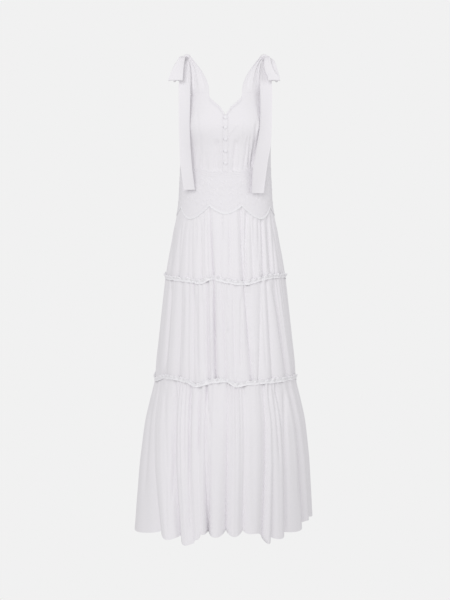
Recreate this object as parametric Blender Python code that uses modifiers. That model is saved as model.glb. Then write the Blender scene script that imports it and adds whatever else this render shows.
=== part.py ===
"""Sleeveless tiered maxi dress, worn shape with no wearer: the cut and sewn pieces as closed solids.

Run with: blender --background --python part.py
Metres, +Z up. The front faces -Y and the wearer's left side is at +X. The origin lies midway
between the shoulders, where the straps rest on the wearer, and the dress hangs below it.
"""

import math
from collections import namedtuple

import bmesh
import bpy
from mathutils import Vector

# Driving dimensions
GAP = 0.0003  # between two sewn pieces
SKIRT_WALL = 0.0015
BODICE_WALL = 0.0014
BAND_WALL = 0.0018  # lace over its backing cloth
TRIM_WALL = 0.0010
RIBBON_WALL = 0.0012

BAND_TOP_BACK = -0.326
BAND_FOOT = -0.455  # the middle of the band's scalloped edge, where the upper tier starts
UPPER_SEAM = -0.652
LOWER_SEAM = -0.955
HEM = -1.390
HEM_SWING = 0.35  # the lowest tier swings round: its left side falls back by this share of its reach

RUFFLE_BELOW = 0.004
RUFFLE_ABOVE = 0.010
RUFFLE_CLEARANCE = 0.0007
RUFFLE_TOP_STAND = 0.0012  # how far the frilled edge stands off, where it comes nearest
RUFFLE_FOOT_STAND = 0.0008
RUFFLE_FOOT_WAVE = 0.0014  # what is left of the frill where it is sewn down
Ruffle = namedtuple("Ruffle", "seam waves reach")
UPPER_RUFFLE = Ruffle(UPPER_SEAM, 58, 0.0055)
LOWER_RUFFLE = Ruffle(LOWER_SEAM, 66, 0.0035)
COLUMNS_A_WAVE = 2

BAND_EDGE_HALF = 0.0032  # half the width of the braid on the band's pointed edge
NECK_TRIM_BELOW = 0.0050
NECK_TRIM_ABOVE = 0.0022
NECK_TRIM_TURNS = (1.0, 3.3, 7.2, 12.0, 16.5, 20.0, 22.3)  # degrees from the centre line

BODICE_MIDDLE = -0.200
FRONT_PANEL_START = 0.08  # degrees from the centre line, half the gap between the two panels
FRONT_PANEL_ROWS = (0.0, 0.14, 0.30, 0.46, 0.62, 0.80, 1.0)  # shares of the way down to the band
BACK_PANEL_ROWS = (0.0, 0.25, 0.5, 0.75, 1.0)
FRONT_GATHER = 0.0016
BACK_GATHER = 0.0008
GATHERED_FROM = 10.0  # degrees from the centre line
GATHERED_TO = 60.0
GATHERS_START = 0.375  # share of the way down to the band

PLACKET_HALF = 0.0070
PLACKET_TOP = -0.1762
PLACKET_STAND = 0.0005
PLACKET_ROWS = 10
BUTTON_HEIGHTS = (-0.1815, -0.2095, -0.2435, -0.2780, -0.3125)
BUTTON_RADIUS = 0.0046
BUTTON_DEPTH = 0.0031
BUTTON_BED = 0.006  # half the stretch of placket that sets a button's tilt

# A shoulder strap: the stretch of the top edge that it grows from, in degrees, how far its curve
# keeps to its first and last direction, and how much its outer side bulges
Strap = namedtuple("Strap", "first last reach bulge")
FRONT_STRAP = Strap(24.0, 58.0, 0.045, 0.50)
BACK_STRAP = Strap(33.0, 50.0, 0.070, 0.10)
STRAP_COLUMNS = 7
STRAP_STEPS = 7
STRAP_PLEAT = 0.0011
STRAP_PLEATS_FULL = 0.7  # share of the strap's length past which its pleats are at their fullest
STRAP_RISE = 0.004
# Outward, along and up: where a strap ends by its knot's centre, the way it runs in, and its width there
STRAP_END = (-0.0055, 0.0035, -0.0035)
STRAP_RUN_IN = (0.52, -0.52, 0.68)
STRAP_END_WIDTH = (0.80, 0.15, -0.52)
STRAP_END_HALF = 0.0068

KNOT_CENTRE = (0.1145, 0.0, 0.0050)
KNOT_RADII = (0.0118, 0.0115, 0.0095)

FRONT, BACK = -1, 1
LEFT, RIGHT = 1, -1
MM = 0.001

# The figure's level sections: half the width, and the depth before and behind the side seams
Section = namedtuple("Section", "height half_width front back")
FIGURE = (
    Section(-1.430, 0.2715, 0.237, 0.245),
    Section(-1.330, 0.2655, 0.231, 0.239),
    Section(-1.267, 0.2610, 0.227, 0.235),
    Section(-1.206, 0.2565, 0.222, 0.230),
    Section(-1.145, 0.2495, 0.215, 0.223),
    Section(-1.084, 0.2415, 0.207, 0.214),
    Section(-1.023, 0.2280, 0.195, 0.202),
    Section(-0.955, 0.2125, 0.183, 0.190),
    Section(-0.902, 0.2085, 0.177, 0.183),
    Section(-0.841, 0.2015, 0.170, 0.176),
    Section(-0.720, 0.1880, 0.157, 0.162),
    Section(-0.652, 0.1800, 0.150, 0.155),
    Section(-0.600, 0.1718, 0.141, 0.146),
    Section(-0.540, 0.1605, 0.130, 0.135),
    Section(-0.510, 0.1552, 0.125, 0.128),
    Section(-0.480, 0.1485, 0.118, 0.119),
    Section(-0.450, 0.1435, 0.111, 0.112),
    Section(-0.420, 0.1395, 0.106, 0.105),
    Section(-0.390, 0.1376, 0.102, 0.100),
    Section(-0.333, 0.1355, 0.098, 0.094),
    Section(-0.270, 0.1350, 0.103, 0.096),
    Section(-0.205, 0.1365, 0.112, 0.099),
    Section(-0.160, 0.1320, 0.104, 0.094),
    Section(-0.120, 0.1220, 0.091, 0.086),
    Section(-0.080, 0.1130, 0.077, 0.077),
)
# The bust: where the cups are fullest, how far they reach and how far they stand out
BUST_TURN = 36.0
BUST_SPREAD = 21.0
BUST_HEIGHT = -0.208
BUST_TALL = 0.050
BUST_FULLNESS = 0.012

# Top edge of the bodice by the angle from the centre line, in degrees
Edge = namedtuple("Edge", "turn height")
FRONT_EDGE = (
    Edge(0.0, -0.1725),
    Edge(3.3, -0.1650),
    Edge(7.2, -0.1520),
    Edge(16.5, -0.1345),
    Edge(22.6, -0.1215),
    Edge(24.0, -0.1065),
    Edge(40.0, -0.1030),
    Edge(58.0, -0.1090),
    Edge(62.5, -0.1270),
    Edge(69.0, -0.1540),
    Edge(78.0, -0.1790),
    Edge(90.0, -0.1880),
)
BACK_EDGE = (
    Edge(0.0, -0.1960),
    Edge(20.0, -0.1930),
    Edge(33.0, -0.1870),
    Edge(50.0, -0.1840),
    Edge(62.0, -0.1850),
    Edge(90.0, -0.1880),
)

# Lower edge of the lace band: the peaks and dips of its scallops, by the angle from the centre line
BAND_EDGE = (
    Edge(0.0, -0.4585),
    Edge(19.5, -0.4360),
    Edge(45.0, -0.4740),
    Edge(68.0, -0.4400),
    Edge(90.0, -0.4640),
)
# Top edge of the band in front, where it dips towards the centre line
BAND_TOP_FRONT = (
    Edge(0.0, -0.3395),
    Edge(18.0, -0.3370),
    Edge(37.0, -0.3280),
    Edge(60.0, -0.3262),
    Edge(90.0, BAND_TOP_BACK),
)

# Folds of each tier across the front. top and bottom are the distances of a fold's valley from the
# centre line at the tier's two edges, and the last three its depth at the top, middle and bottom, in mm.
Fold = namedtuple("Fold", "top bottom depth_top depth_middle depth_bottom")
UPPER_FOLDS = (
    Fold(-132, -168, 1.0, 3.0, 4.5),
    Fold(-115, -140, 1.0, 2.5, 4.0),
    Fold(-95, -97, 1.0, 3.0, 3.5),
    Fold(-69, -70, 1.0, 2.5, 3.0),
    Fold(-47, -34, 3.0, 9.0, 11.0),
    Fold(-17, -14, 1.0, 3.0, 3.0),
    Fold(13, 12, 1.5, 4.0, 5.0),
    Fold(42, 54, 3.0, 11.0, 15.0),
    Fold(72, 82, 2.0, 5.0, 5.0),
    Fold(102, 110, 2.0, 5.0, 6.0),
    Fold(122, 138, 2.0, 6.0, 8.0),
    Fold(136, 168, 1.0, 5.0, 8.0),
)
MIDDLE_FOLDS = (
    Fold(-158, -180, 4.0, 6.0, 6.0),
    Fold(-128, -140, 3.5, 8.0, 8.0),
    Fold(-95, -93, 3.0, 4.5, 4.5),
    Fold(-53, -48, 5.0, 10.0, 10.0),
    Fold(-34, -29, 8.0, 16.0, 16.0),
    Fold(-10, 3, 4.0, 8.0, 8.0),
    Fold(19, 30, 2.0, 4.0, 4.0),
    Fold(56, 80, 12.0, 16.0, 12.0),
    Fold(106, 97, 4.0, 7.0, 7.0),
    Fold(121, 141, 4.5, 9.0, 9.0),
    Fold(146, 187, 5.0, 9.0, 9.0),
    Fold(170, 206, 5.0, 8.0, 9.0),
)
# The lowest tier's folds also give the hem's height, in mm: on the ridge before each valley, and in it
HemFold = namedtuple("HemFold", Fold._fields + ("hem_ridge", "hem_valley"))
LOWER_FOLDS = (
    HemFold(-200, -196, 4.0, 9.0, 16.0, -1393, -1375),
    HemFold(-145, -137, 6.0, 13.0, 24.0, -1394, -1383),
    HemFold(-105, -92, 6.0, 7.0, 6.0, -1408, -1402),
    HemFold(-73, -73, 6.0, 4.0, 3.0, -1392, -1379),
    HemFold(-57, -56, 9.0, 11.0, 30.0, -1378, -1375),
    HemFold(7, 1, 9.0, 17.0, 28.0, -1388, -1372),
    HemFold(50, 53, 8.0, 10.0, 22.0, -1390, -1377),
    HemFold(113, 113, 9.0, 17.0, 24.0, -1388, -1406),
    HemFold(129, 140, 3.0, 5.0, 18.0, -1426, -1410),
    HemFold(149, 186, 7.0, 13.0, 22.0, -1419, -1406),
    HemFold(188, 246, 6.0, 14.0, 24.0, -1412, -1399),
    HemFold(204, 259, 4.0, 8.0, 14.0, -1393, -1384),
)
HEM_AT_LEFT_SIDE = -1396  # the last ridge
FOLD_SHARES = (0.0, 0.18, 0.5, 0.82)  # columns between one valley and the next
FOLD_ROUNDNESS = 0.75  # below 1, folds are round with narrow valleys between them
# The back's folds are the front's, moved by up to this many mm and drawn in by this share
HIDDEN_SHIFT = 4.0
HIDDEN_SHRINK = 0.98
HIDDEN_DEPTH = 0.95
HIDDEN_DEPTH_SWING = 0.15
# Shares of the way down at which each tier has a row of points
UPPER_ROWS = (0.0, 0.3, 0.6, 1.0)
MIDDLE_ROWS = (0.0, 0.25, 0.5, 1.0)
LOWER_ROWS = (0.0, 0.15, 0.32, 0.6, 1.0)

# A ribbon's stations: outward from the centre line, forward or back, up, half its width, and
# the turn of its width about the vertical, in millimetres and degrees
Stop = namedtuple("Stop", "out along up half_width twist")
RIGHT_TAIL = (
    Stop(117.0, -6.5, -1.0, 5.0, 0),
    Stop(117.0, -17.0, -9.0, 8.0, 0),
    Stop(117.5, -29.0, -29.0, 12.5, 6),
    Stop(119.0, -45.0, -60.0, 17.0, 14),
    Stop(120.5, -59.0, -95.0, 18.2, 20),
    Stop(120.5, -73.0, -140.0, 18.0, 23),
    Stop(120.5, -83.0, -200.0, 17.5, 23),
    Stop(119.0, -86.0, -260.0, 17.6, 23),
    Stop(115.0, -86.0, -320.0, 17.8, 22),
    Stop(106.0, -86.0, -390.0, 17.6, 22),
)
LEFT_TAIL = (
    Stop(117.0, -6.5, -1.0, 5.0, 0),
    Stop(117.0, -17.0, -9.0, 8.0, 0),
    Stop(117.5, -29.0, -29.0, 12.5, 6),
    Stop(118.5, -45.0, -60.0, 17.0, 12),
    Stop(119.0, -60.0, -95.0, 18.6, 18),
    Stop(119.5, -74.0, -140.0, 18.6, 22),
    Stop(118.5, -86.0, -197.0, 19.0, 24),
    Stop(112.5, -90.0, -258.0, 21.5, 25),
    Stop(101.5, -91.0, -322.0, 22.5, 25),
    Stop(94.5, -92.0, -400.0, 19.5, 25),
)
BACK_TAIL = (
    Stop(112.5, 5.0, 2.0, 6.5, 0),
    Stop(112.5, 16.0, -3.0, 8.0, 0),
    Stop(114.5, 27.0, -16.0, 11.5, -6),
    Stop(118.5, 41.0, -37.0, 14.5, -12),
    Stop(122.0, 57.0, -66.0, 16.4, -18),
    Stop(123.0, 72.0, -106.0, 16.8, -22),
    Stop(122.5, 82.0, -150.0, 16.8, -24),
    Stop(121.0, 86.0, -220.0, 16.8, -24),
    Stop(118.0, 87.0, -300.0, 17.0, -22),
    Stop(112.0, 88.0, -384.0, 17.4, -22),
)
RIGHT_LOOP = (
    Stop(119.0, -6.0, 6.0, 6.0, 0),
    Stop(127.0, -23.0, 2.0, 8.5, 0),
    Stop(134.5, -40.0, -18.0, 12.5, 4),
    Stop(141.5, -55.0, -43.0, 17.5, 6),
    Stop(145.5, -64.0, -62.0, 20.5, 6),
    Stop(146.5, -66.5, -68.5, 21.0, 6),
    Stop(146.5, -63.5, -71.5, 21.0, 6),
    Stop(146.5, -60.0, -68.5, 21.0, 6),
    Stop(145.0, -54.0, -58.0, 20.0, 6),
    Stop(140.5, -42.0, -36.0, 16.5, 4),
    Stop(134.5, -28.0, -14.0, 11.8, 0),
    Stop(128.0, -14.0, -3.0, 8.0, 0),
    Stop(119.0, -2.5, 1.0, 6.0, 0),
)
LEFT_LOOP = (
    Stop(119.0, -6.0, 6.0, 6.0, 0),
    Stop(123.5, -23.0, 2.0, 8.0, 0),
    Stop(124.5, -40.0, -18.0, 10.5, 4),
    Stop(130.0, -54.0, -42.0, 13.5, 6),
    Stop(141.0, -64.0, -61.0, 17.0, 6),
    Stop(142.5, -66.5, -68.0, 17.6, 6),
    Stop(142.5, -63.5, -71.0, 17.8, 6),
    Stop(142.5, -60.0, -68.0, 17.8, 6),
    Stop(141.5, -54.0, -58.0, 17.0, 6),
    Stop(138.5, -42.0, -36.0, 15.0, 4),
    Stop(134.0, -28.0, -14.0, 12.5, 0),
    Stop(128.0, -14.0, -3.0, 9.0, 0),
    Stop(119.0, -2.5, 1.0, 6.0, 0),
)
BACK_LOOP = (
    Stop(118.5, 4.0, 6.0, 5.0, 70),
    Stop(127.0, 13.0, 2.0, 7.5, 70),
    Stop(137.5, 24.0, -13.0, 12.5, 70),
    Stop(145.5, 32.0, -34.0, 17.0, 70),
    Stop(149.5, 36.0, -54.0, 19.5, 70),
    Stop(150.5, 36.0, -62.0, 20.0, 70),
    Stop(147.0, 36.0, -65.0, 20.0, 70),
    Stop(143.5, 35.0, -62.0, 20.0, 70),
    Stop(141.5, 32.0, -50.0, 19.0, 70),
    Stop(136.5, 26.0, -30.0, 16.0, 70),
    Stop(130.0, 17.0, -11.0, 11.0, 70),
    Stop(123.5, 9.0, -1.0, 6.5, 70),
    Stop(118.5, 2.5, 2.0, 4.5, 70),
)
RIBBON_COLUMNS = (-1.0, -0.35, 0.35, 1.0)
RIBBON_BOW = 0.0016  # how far a ribbon's middle bows out of its edges

SHARP_EDGE = math.radians(50)


def smooth_curve(pairs):
    """A curve through rising (station, value) pairs that never swings past them."""
    stations = [p[0] for p in pairs]
    values = [p[1] for p in pairs]
    slopes = [(values[i + 1] - values[i]) / (stations[i + 1] - stations[i]) for i in range(len(pairs) - 1)]
    tangents = [slopes[0]]
    for before, after in zip(slopes, slopes[1:]):
        level = before * after <= 0
        tangents.append(0.0 if level else 2 * before * after / (before + after))
    tangents.append(slopes[-1])

    def value(at):
        at = min(max(at, stations[0]), stations[-1])
        i = max(k for k in range(len(stations) - 1) if stations[k] <= at)
        step = stations[i + 1] - stations[i]
        t = (at - stations[i]) / step
        start = (1 + 2 * t) * (1 - t) ** 2 * values[i] + t * (1 - t) ** 2 * step * tangents[i]
        return start + t * t * (3 - 2 * t) * values[i + 1] + t * t * (t - 1) * step * tangents[i + 1]

    return value


half_width_at = smooth_curve([(s.height, s.half_width) for s in FIGURE])
front_depth_at = smooth_curve([(s.height, s.front) for s in FIGURE])
back_depth_at = smooth_curve([(s.height, s.back) for s in FIGURE])
front_edge_at = smooth_curve(FRONT_EDGE)
back_edge_at = smooth_curve(BACK_EDGE)
band_top_at = smooth_curve(BAND_TOP_FRONT)


def mix(a, b, share):
    return a + (b - a) * share


def depth_at(facing, height):
    return front_depth_at(height) if facing == FRONT else back_depth_at(height)


def bust_lift(facing, turn, height):
    """How far the cups stand out from the plain oval section."""
    if facing == BACK:
        return 0.0
    aside = (abs(math.degrees(turn)) - BUST_TURN) / BUST_SPREAD
    above = (height - BUST_HEIGHT) / BUST_TALL
    return BUST_FULLNESS * math.exp(-aside * aside - above * above)


def swing_at(height):
    """How far a point falls back for each metre that it lies to the wearer's left."""
    return HEM_SWING * max(0.0, (LOWER_SEAM - height) / (LOWER_SEAM - HEM))


def on_dress(facing, turn, height, lift=0.0):
    """A point of the dress at an angle from the front or back centre line, lift metres out."""
    half_width = half_width_at(height)
    depth = depth_at(facing, height)
    out = Vector((math.sin(turn) / half_width, facing * math.cos(turn) / depth, 0)).normalized()
    plain = Vector((half_width * math.sin(turn), facing * depth * math.cos(turn), height))
    point = plain + out * (lift + bust_lift(facing, turn, height))
    point.y += point.x * swing_at(height)
    return point


def side_turn(facing, height):
    """The angle of the side seam, half a gap short of a right angle."""
    return math.pi / 2 - GAP / 2 / depth_at(facing, height)


def band_edge_at(turn):
    """Height of the lace band's lower edge: round dips between sharp peaks."""
    degrees = abs(math.degrees(turn))
    for peak, dip in ((1, 0), (1, 2), (3, 2), (3, 4)):
        low, high = sorted((BAND_EDGE[peak].turn, BAND_EDGE[dip].turn))
        if low <= degrees <= high + 1e-6:
            share = abs(degrees - BAND_EDGE[peak].turn) / (high - low)
            rise = BAND_EDGE[dip].height - BAND_EDGE[peak].height
            return BAND_EDGE[peak].height + rise * math.sin(share * math.pi / 2)
    return BAND_EDGE[-1].height


def band_top(facing, turn):
    return band_top_at(abs(math.degrees(turn))) if facing == FRONT else BAND_TOP_BACK


def hidden_folds(folds):
    """Folds for the back: the front's, seen from the other side, each a little moved."""
    rows = []
    for i, f in enumerate(reversed(folds)):
        shift = HIDDEN_SHIFT * math.sin(1.7 * i)
        scale = HIDDEN_DEPTH + HIDDEN_DEPTH_SWING * math.sin(2.1 * i)
        row = f._replace(top=-f.top * HIDDEN_SHRINK + shift, bottom=-f.bottom * HIDDEN_SHRINK + shift)
        row = row._replace(depth_top=f.depth_top * scale, depth_middle=f.depth_middle * scale)
        rows.append(row._replace(depth_bottom=f.depth_bottom * scale))
    if hasattr(folds[0], "hem_ridge"):
        rows[0] = rows[0]._replace(hem_ridge=folds[0].hem_ridge)
    return rows


class Tier:
    """One gathered tier of the skirt, with its folds in front and behind."""

    def __init__(self, top, bottom, folds):
        self.top = top
        self.bottom = bottom
        self.folds = {FRONT: list(folds), BACK: hidden_folds(folds)}

    def valleys(self, facing, share):
        """Angle and depth of each fold's valley, share of the way down the tier."""
        found = []
        top_width = half_width_at(self.top)
        bottom_width = half_width_at(self.bottom)
        for f in self.folds[facing]:
            start = math.asin(f.top * MM / top_width)
            end = math.asin(f.bottom * MM / bottom_width)
            half = share * 2 if share < 0.5 else share * 2 - 1
            first, last = (f.depth_top, f.depth_middle) if share < 0.5 else (f.depth_middle, f.depth_bottom)
            found.append((mix(start, end, share), mix(first, last, half) * MM))
        return found

    def at(self, facing, fold, part, share):
        """Angle and lift at part of the way across a fold. Fold 0 and the last are halves at the side seams."""
        valleys = self.valleys(facing, share)
        side = side_turn(facing, mix(self.top, self.bottom, share))
        if fold == 0:
            turn = mix(-side, valleys[0][0], 2 * part - 1)
            depth = valleys[0][1]
        elif fold == len(valleys):
            turn = mix(valleys[-1][0], side, 2 * part)
            depth = valleys[-1][1]
        else:
            turn = mix(valleys[fold - 1][0], valleys[fold][0], part)
            depth = mix(valleys[fold - 1][1], valleys[fold][1], part)
        return turn, -depth * (1 - math.sin(math.pi * part) ** FOLD_ROUNDNESS)

    def columns(self, facing):
        """(fold, part) of each column from one side seam to the other."""
        last = len(self.folds[facing])
        first = [(0, p) for p in FOLD_SHARES if p >= 0.5]
        middle = [(k, p) for k in range(1, last) for p in FOLD_SHARES]
        return first + middle + [(last, p) for p in FOLD_SHARES if p <= 0.5]

    def lift_at(self, facing, turn, share):
        """How far the tier's wall lies in from the plain figure at an angle."""
        valleys = self.valleys(facing, share)
        fold = sum(1 for v in valleys if v[0] < turn)
        side = math.pi / 2
        if fold == 0:
            part = 0.5 + 0.5 * (turn + side) / (valleys[0][0] + side)
            depth = valleys[0][1]
        elif fold == len(valleys):
            part = 0.5 * (turn - valleys[-1][0]) / (side - valleys[-1][0])
            depth = valleys[-1][1]
        else:
            part = (turn - valleys[fold - 1][0]) / (valleys[fold][0] - valleys[fold - 1][0])
            depth = mix(valleys[fold - 1][1], valleys[fold][1], part)
        return -depth * (1 - math.sin(math.pi * min(max(part, 0.0), 1.0)) ** FOLD_ROUNDNESS)


UPPER_TIER = Tier(BAND_FOOT, UPPER_SEAM, UPPER_FOLDS)
MIDDLE_TIER = Tier(UPPER_SEAM, LOWER_SEAM, MIDDLE_FOLDS)
LOWER_TIER = Tier(LOWER_SEAM, HEM, LOWER_FOLDS)


def new_collection(name):
    collection = bpy.data.collections.new(name)
    bpy.context.scene.collection.children.link(collection)
    return collection


def new_material(name, colour, roughness):
    material = bpy.data.materials.new(name)
    material.use_nodes = True
    shader = material.node_tree.nodes["Principled BSDF"]
    shader.inputs["Base Color"].default_value = (*colour, 1.0)
    shader.inputs["Roughness"].default_value = roughness
    shader.inputs["Metallic"].default_value = 0.0
    return material


def add_object(name, mesh, material, collection):
    mesh.materials.append(material)
    item = bpy.data.objects.new(name, mesh)
    collection.objects.link(item)
    return item


def wall_directions(rows, wrap, level):
    """Unit normals of a grid of points; a level wall keeps each point's height."""
    normals = []
    for i, row in enumerate(rows):
        above = rows[max(i - 1, 0)]
        below = rows[min(i + 1, len(rows) - 1)]
        line = []
        for j in range(len(row)):
            after = row[(j + 1) % len(row)] if wrap else row[min(j + 1, len(row) - 1)]
            before = row[j - 1] if wrap else row[max(j - 1, 0)]
            down = Vector((0, 0, -1)) if level else below[j] - above[j]
            line.append((after - before).cross(down).normalized())
        normals.append(line)
    return normals


def cloth_wall(name, rows, thickness, material, collection, wrap=False, level=True, square_ends=False,
               first_row=None):
    """A closed wall behind a grid of outer points, as thick as the cloth.

    square_ends turns the two end columns' thickness along X, so that side seams stay parallel,
    and first_row gives the directions of the first row's thickness where it meets another piece.
    """
    normals = wall_directions(rows, wrap, level)
    middle = rows[len(rows) // 2]
    centre = sum(middle, Vector()) / len(middle)
    aim = normals[len(rows) // 2][len(middle) // 2]
    away = middle[len(middle) // 2] - Vector((0, 0, centre.z))
    flip = -1 if aim.dot(Vector((away.x, away.y, 0))) < 0 else 1
    for line in normals:
        for normal in line:
            normal *= flip
        if square_ends:
            line[0] = Vector((math.copysign(1, line[0].x), 0, 0))
            line[-1] = Vector((math.copysign(1, line[-1].x), 0, 0))
    if first_row:
        normals[0] = first_row
    mesh = bmesh.new()
    outer = [[mesh.verts.new(p) for p in row] for row in rows]
    inner = [[mesh.verts.new(p - n * thickness) for p, n in zip(row, line)] for row, line in zip(rows, normals)]
    count = len(rows[0])
    steps = range(count if wrap else count - 1)
    for i in range(len(rows) - 1):
        for j in steps:
            k = (j + 1) % count
            mesh.faces.new((outer[i][j], outer[i][k], outer[i + 1][k], outer[i + 1][j]))
            mesh.faces.new((inner[i][j], inner[i + 1][j], inner[i + 1][k], inner[i][k]))
        if not wrap:
            mesh.faces.new((outer[i][0], outer[i + 1][0], inner[i + 1][0], inner[i][0]))
            mesh.faces.new((outer[i][-1], inner[i][-1], inner[i + 1][-1], outer[i + 1][-1]))
    for j in steps:
        k = (j + 1) % count
        mesh.faces.new((outer[0][j], inner[0][j], inner[0][k], outer[0][k]))
        mesh.faces.new((outer[-1][j], outer[-1][k], inner[-1][k], inner[-1][j]))
    bmesh.ops.recalc_face_normals(mesh, faces=mesh.faces)
    data = bpy.data.meshes.new(name)
    mesh.to_mesh(data)
    mesh.free()
    data.shade_smooth()
    data.set_sharp_from_angle(angle=SHARP_EDGE)
    return add_object(name, data, material, collection)


def strap_spans(shape):
    """Angles in degrees of a strap's columns, where it grows from the bodice."""
    return [mix(shape.first, shape.last, i / (STRAP_COLUMNS - 1)) for i in range(STRAP_COLUMNS)]


def bodice_columns(first, shape, last, steps_in, steps_out):
    """Angles in degrees across half a bodice, with the strap's own columns in the middle."""
    inner = [mix(first, shape.first, i / steps_in) for i in range(steps_in)]
    outer = [mix(shape.last, last, (i + 1) / steps_out) for i in range(steps_out)]
    return inner + strap_spans(shape) + outer


def bodice_rows(facing, turns, edge_at, heights):
    """Rows of a bodice panel from its top edge down to the band, gathered softly below the bust."""
    gather = FRONT_GATHER if facing == FRONT else BACK_GATHER
    rows = []
    for share in heights:
        depth = gather * max(0.0, (share - GATHERS_START) / (1 - GATHERS_START))
        row = []
        for j, turn in enumerate(turns):
            height = mix(edge_at(abs(math.degrees(turn))), band_top(facing, turn) + GAP / 2, share)
            gathered = GATHERED_FROM < abs(math.degrees(turn)) < GATHERED_TO and j % 2 == 1
            row.append(on_dress(facing, turn, height, -depth if gathered else 0.0))
        rows.append(row)
    return rows


def front_panel(name, rows, material, collection):
    """A front panel: its centre end's thickness runs straight back, its side end's along X."""
    item = cloth_wall(name, rows, BODICE_WALL, material, collection)
    columns = len(rows[0])
    for i, row in enumerate(rows):
        start = (len(rows) + i) * columns
        item.data.vertices[start].co = row[0] + Vector((0, BODICE_WALL, 0))
        inward = Vector((math.copysign(BODICE_WALL, row[-1].x), 0, 0))
        item.data.vertices[start + columns - 1].co = row[-1] - inward


def bodice(material, collection):
    """Two front panels that meet at the centre, and one back panel."""
    degrees = bodice_columns(FRONT_PANEL_START, FRONT_STRAP, 90.0, 6, 7)
    limit = side_turn(FRONT, BODICE_MIDDLE)
    for name, side in (("bodice_front_left", LEFT), ("bodice_front_right", RIGHT)):
        turns = [side * min(math.radians(d), limit) for d in degrees]
        front_panel(name, bodice_rows(FRONT, turns, front_edge_at, FRONT_PANEL_ROWS), material, collection)
    half = bodice_columns(0.0, BACK_STRAP, 90.0, 4, 4)
    degrees = [-d for d in reversed(half[1:])] + half
    limit = side_turn(BACK, BODICE_MIDDLE)
    turns = [max(-limit, min(limit, math.radians(d))) for d in degrees]
    rows = bodice_rows(BACK, turns, back_edge_at, BACK_PANEL_ROWS)
    cloth_wall("bodice_back", rows, BODICE_WALL, material, collection, square_ends=True)


def shoulder_vector(offset, side, facing):
    """Outward, along and up as a vector on one shoulder, in front or behind."""
    return Vector((side * offset[0], facing * offset[1], offset[2]))


def strap(name, facing, side, shape, edge_at, material, collection, cutter):
    """A strap from the bodice's top edge, its outer side fuller, gathered into the shoulder knot."""
    spans = strap_spans(shape)
    inward = shoulder_vector(STRAP_RUN_IN, side, facing).normalized()
    across = shoulder_vector(STRAP_END_WIDTH, side, facing).normalized() * STRAP_END_HALF
    end = shoulder_vector(KNOT_CENTRE, side, facing) + shoulder_vector(STRAP_END, side, facing)
    rows = []
    for i in range(STRAP_STEPS + 1):
        t = i / STRAP_STEPS
        pleat = STRAP_PLEAT * math.sin(math.pi * min(1.0, t / STRAP_PLEATS_FULL))
        row = []
        for j, degrees in enumerate(spans):
            turn = side * math.radians(degrees)
            height = edge_at(degrees) + GAP
            start = on_dress(facing, turn, height)
            up = (on_dress(facing, turn, height + STRAP_RISE) - start).normalized()
            up.x += side * shape.bulge * j / (STRAP_COLUMNS - 1)
            finish = end + across * mix(-1, 1, j / (STRAP_COLUMNS - 1))
            a, b, c, d = start, start + up * shape.reach, finish - inward * shape.reach, finish
            point = (1 - t) ** 3 * a + 3 * t * (1 - t) ** 2 * b + 3 * t * t * (1 - t) * c + t ** 3 * d
            point.y += facing * pleat * (1 if j % 2 else -1)
            row.append(point)
        rows.append(row)
    foot = [on_dress(facing, side * math.radians(d), edge_at(d)) for d in spans]
    level = wall_directions([foot], False, True)[0]
    for normal in level:
        normal *= -1 if normal.y * facing < 0 else 1
    item = cloth_wall(name, rows, RIBBON_WALL, material, collection, level=False, first_row=level)
    return cut_clear(item, cutter)


def cut_clear(item, cutter):
    """Cuts an object back from the shoulder knot, with a sewing gap."""
    cut = item.modifiers.new("clear_of_knot", "BOOLEAN")
    cut.operation = "DIFFERENCE"
    cut.solver = "EXACT"
    cut.object = cutter
    return item


def ribbon(name, stops, side, material, collection, cutter):
    """A flat tie through its stations, bowed a little across, as a surface with Solidify."""
    points = [Vector((side * s.out, s.along, s.up)) * MM for s in stops]
    mesh = bmesh.new()
    rows = []
    for i, stop in enumerate(stops):
        twist = math.radians(stop.twist)
        across = Vector((side * math.cos(twist), math.sin(twist), 0))
        run = points[min(i + 1, len(points) - 1)] - points[max(i - 1, 0)]
        bow = across.cross(run).normalized() * side * RIBBON_BOW
        width = across * stop.half_width * MM
        rows.append([mesh.verts.new(points[i] + width * c + bow * (1 - c * c)) for c in RIBBON_COLUMNS])
    for row, following in zip(rows, rows[1:]):
        for j in range(len(RIBBON_COLUMNS) - 1):
            mesh.faces.new((row[j], row[j + 1], following[j + 1], following[j]))
    data = bpy.data.meshes.new(name)
    mesh.to_mesh(data)
    mesh.free()
    item = add_object(name, data, material, collection)
    wall = item.modifiers.new("wall", "SOLIDIFY")
    wall.thickness = RIBBON_WALL
    wall.offset = 0.0
    return cut_clear(item, cutter)


def ellipsoid(name, centre, radii, segments, rings, material, collection, tilt=0.0):
    bpy.ops.mesh.primitive_uv_sphere_add(segments=segments, ring_count=rings, radius=1.0)
    item = bpy.context.object
    item.name = name
    item.data.name = name
    item.scale = radii
    item.location = centre
    item.rotation_euler = (tilt, 0.0, 0.0)
    bpy.ops.object.transform_apply(location=False, rotation=False, scale=True)
    for holder in item.users_collection:
        holder.objects.unlink(item)
    collection.objects.link(item)
    item.data.shade_smooth()
    if material:
        item.data.materials.append(material)
    return item


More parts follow.
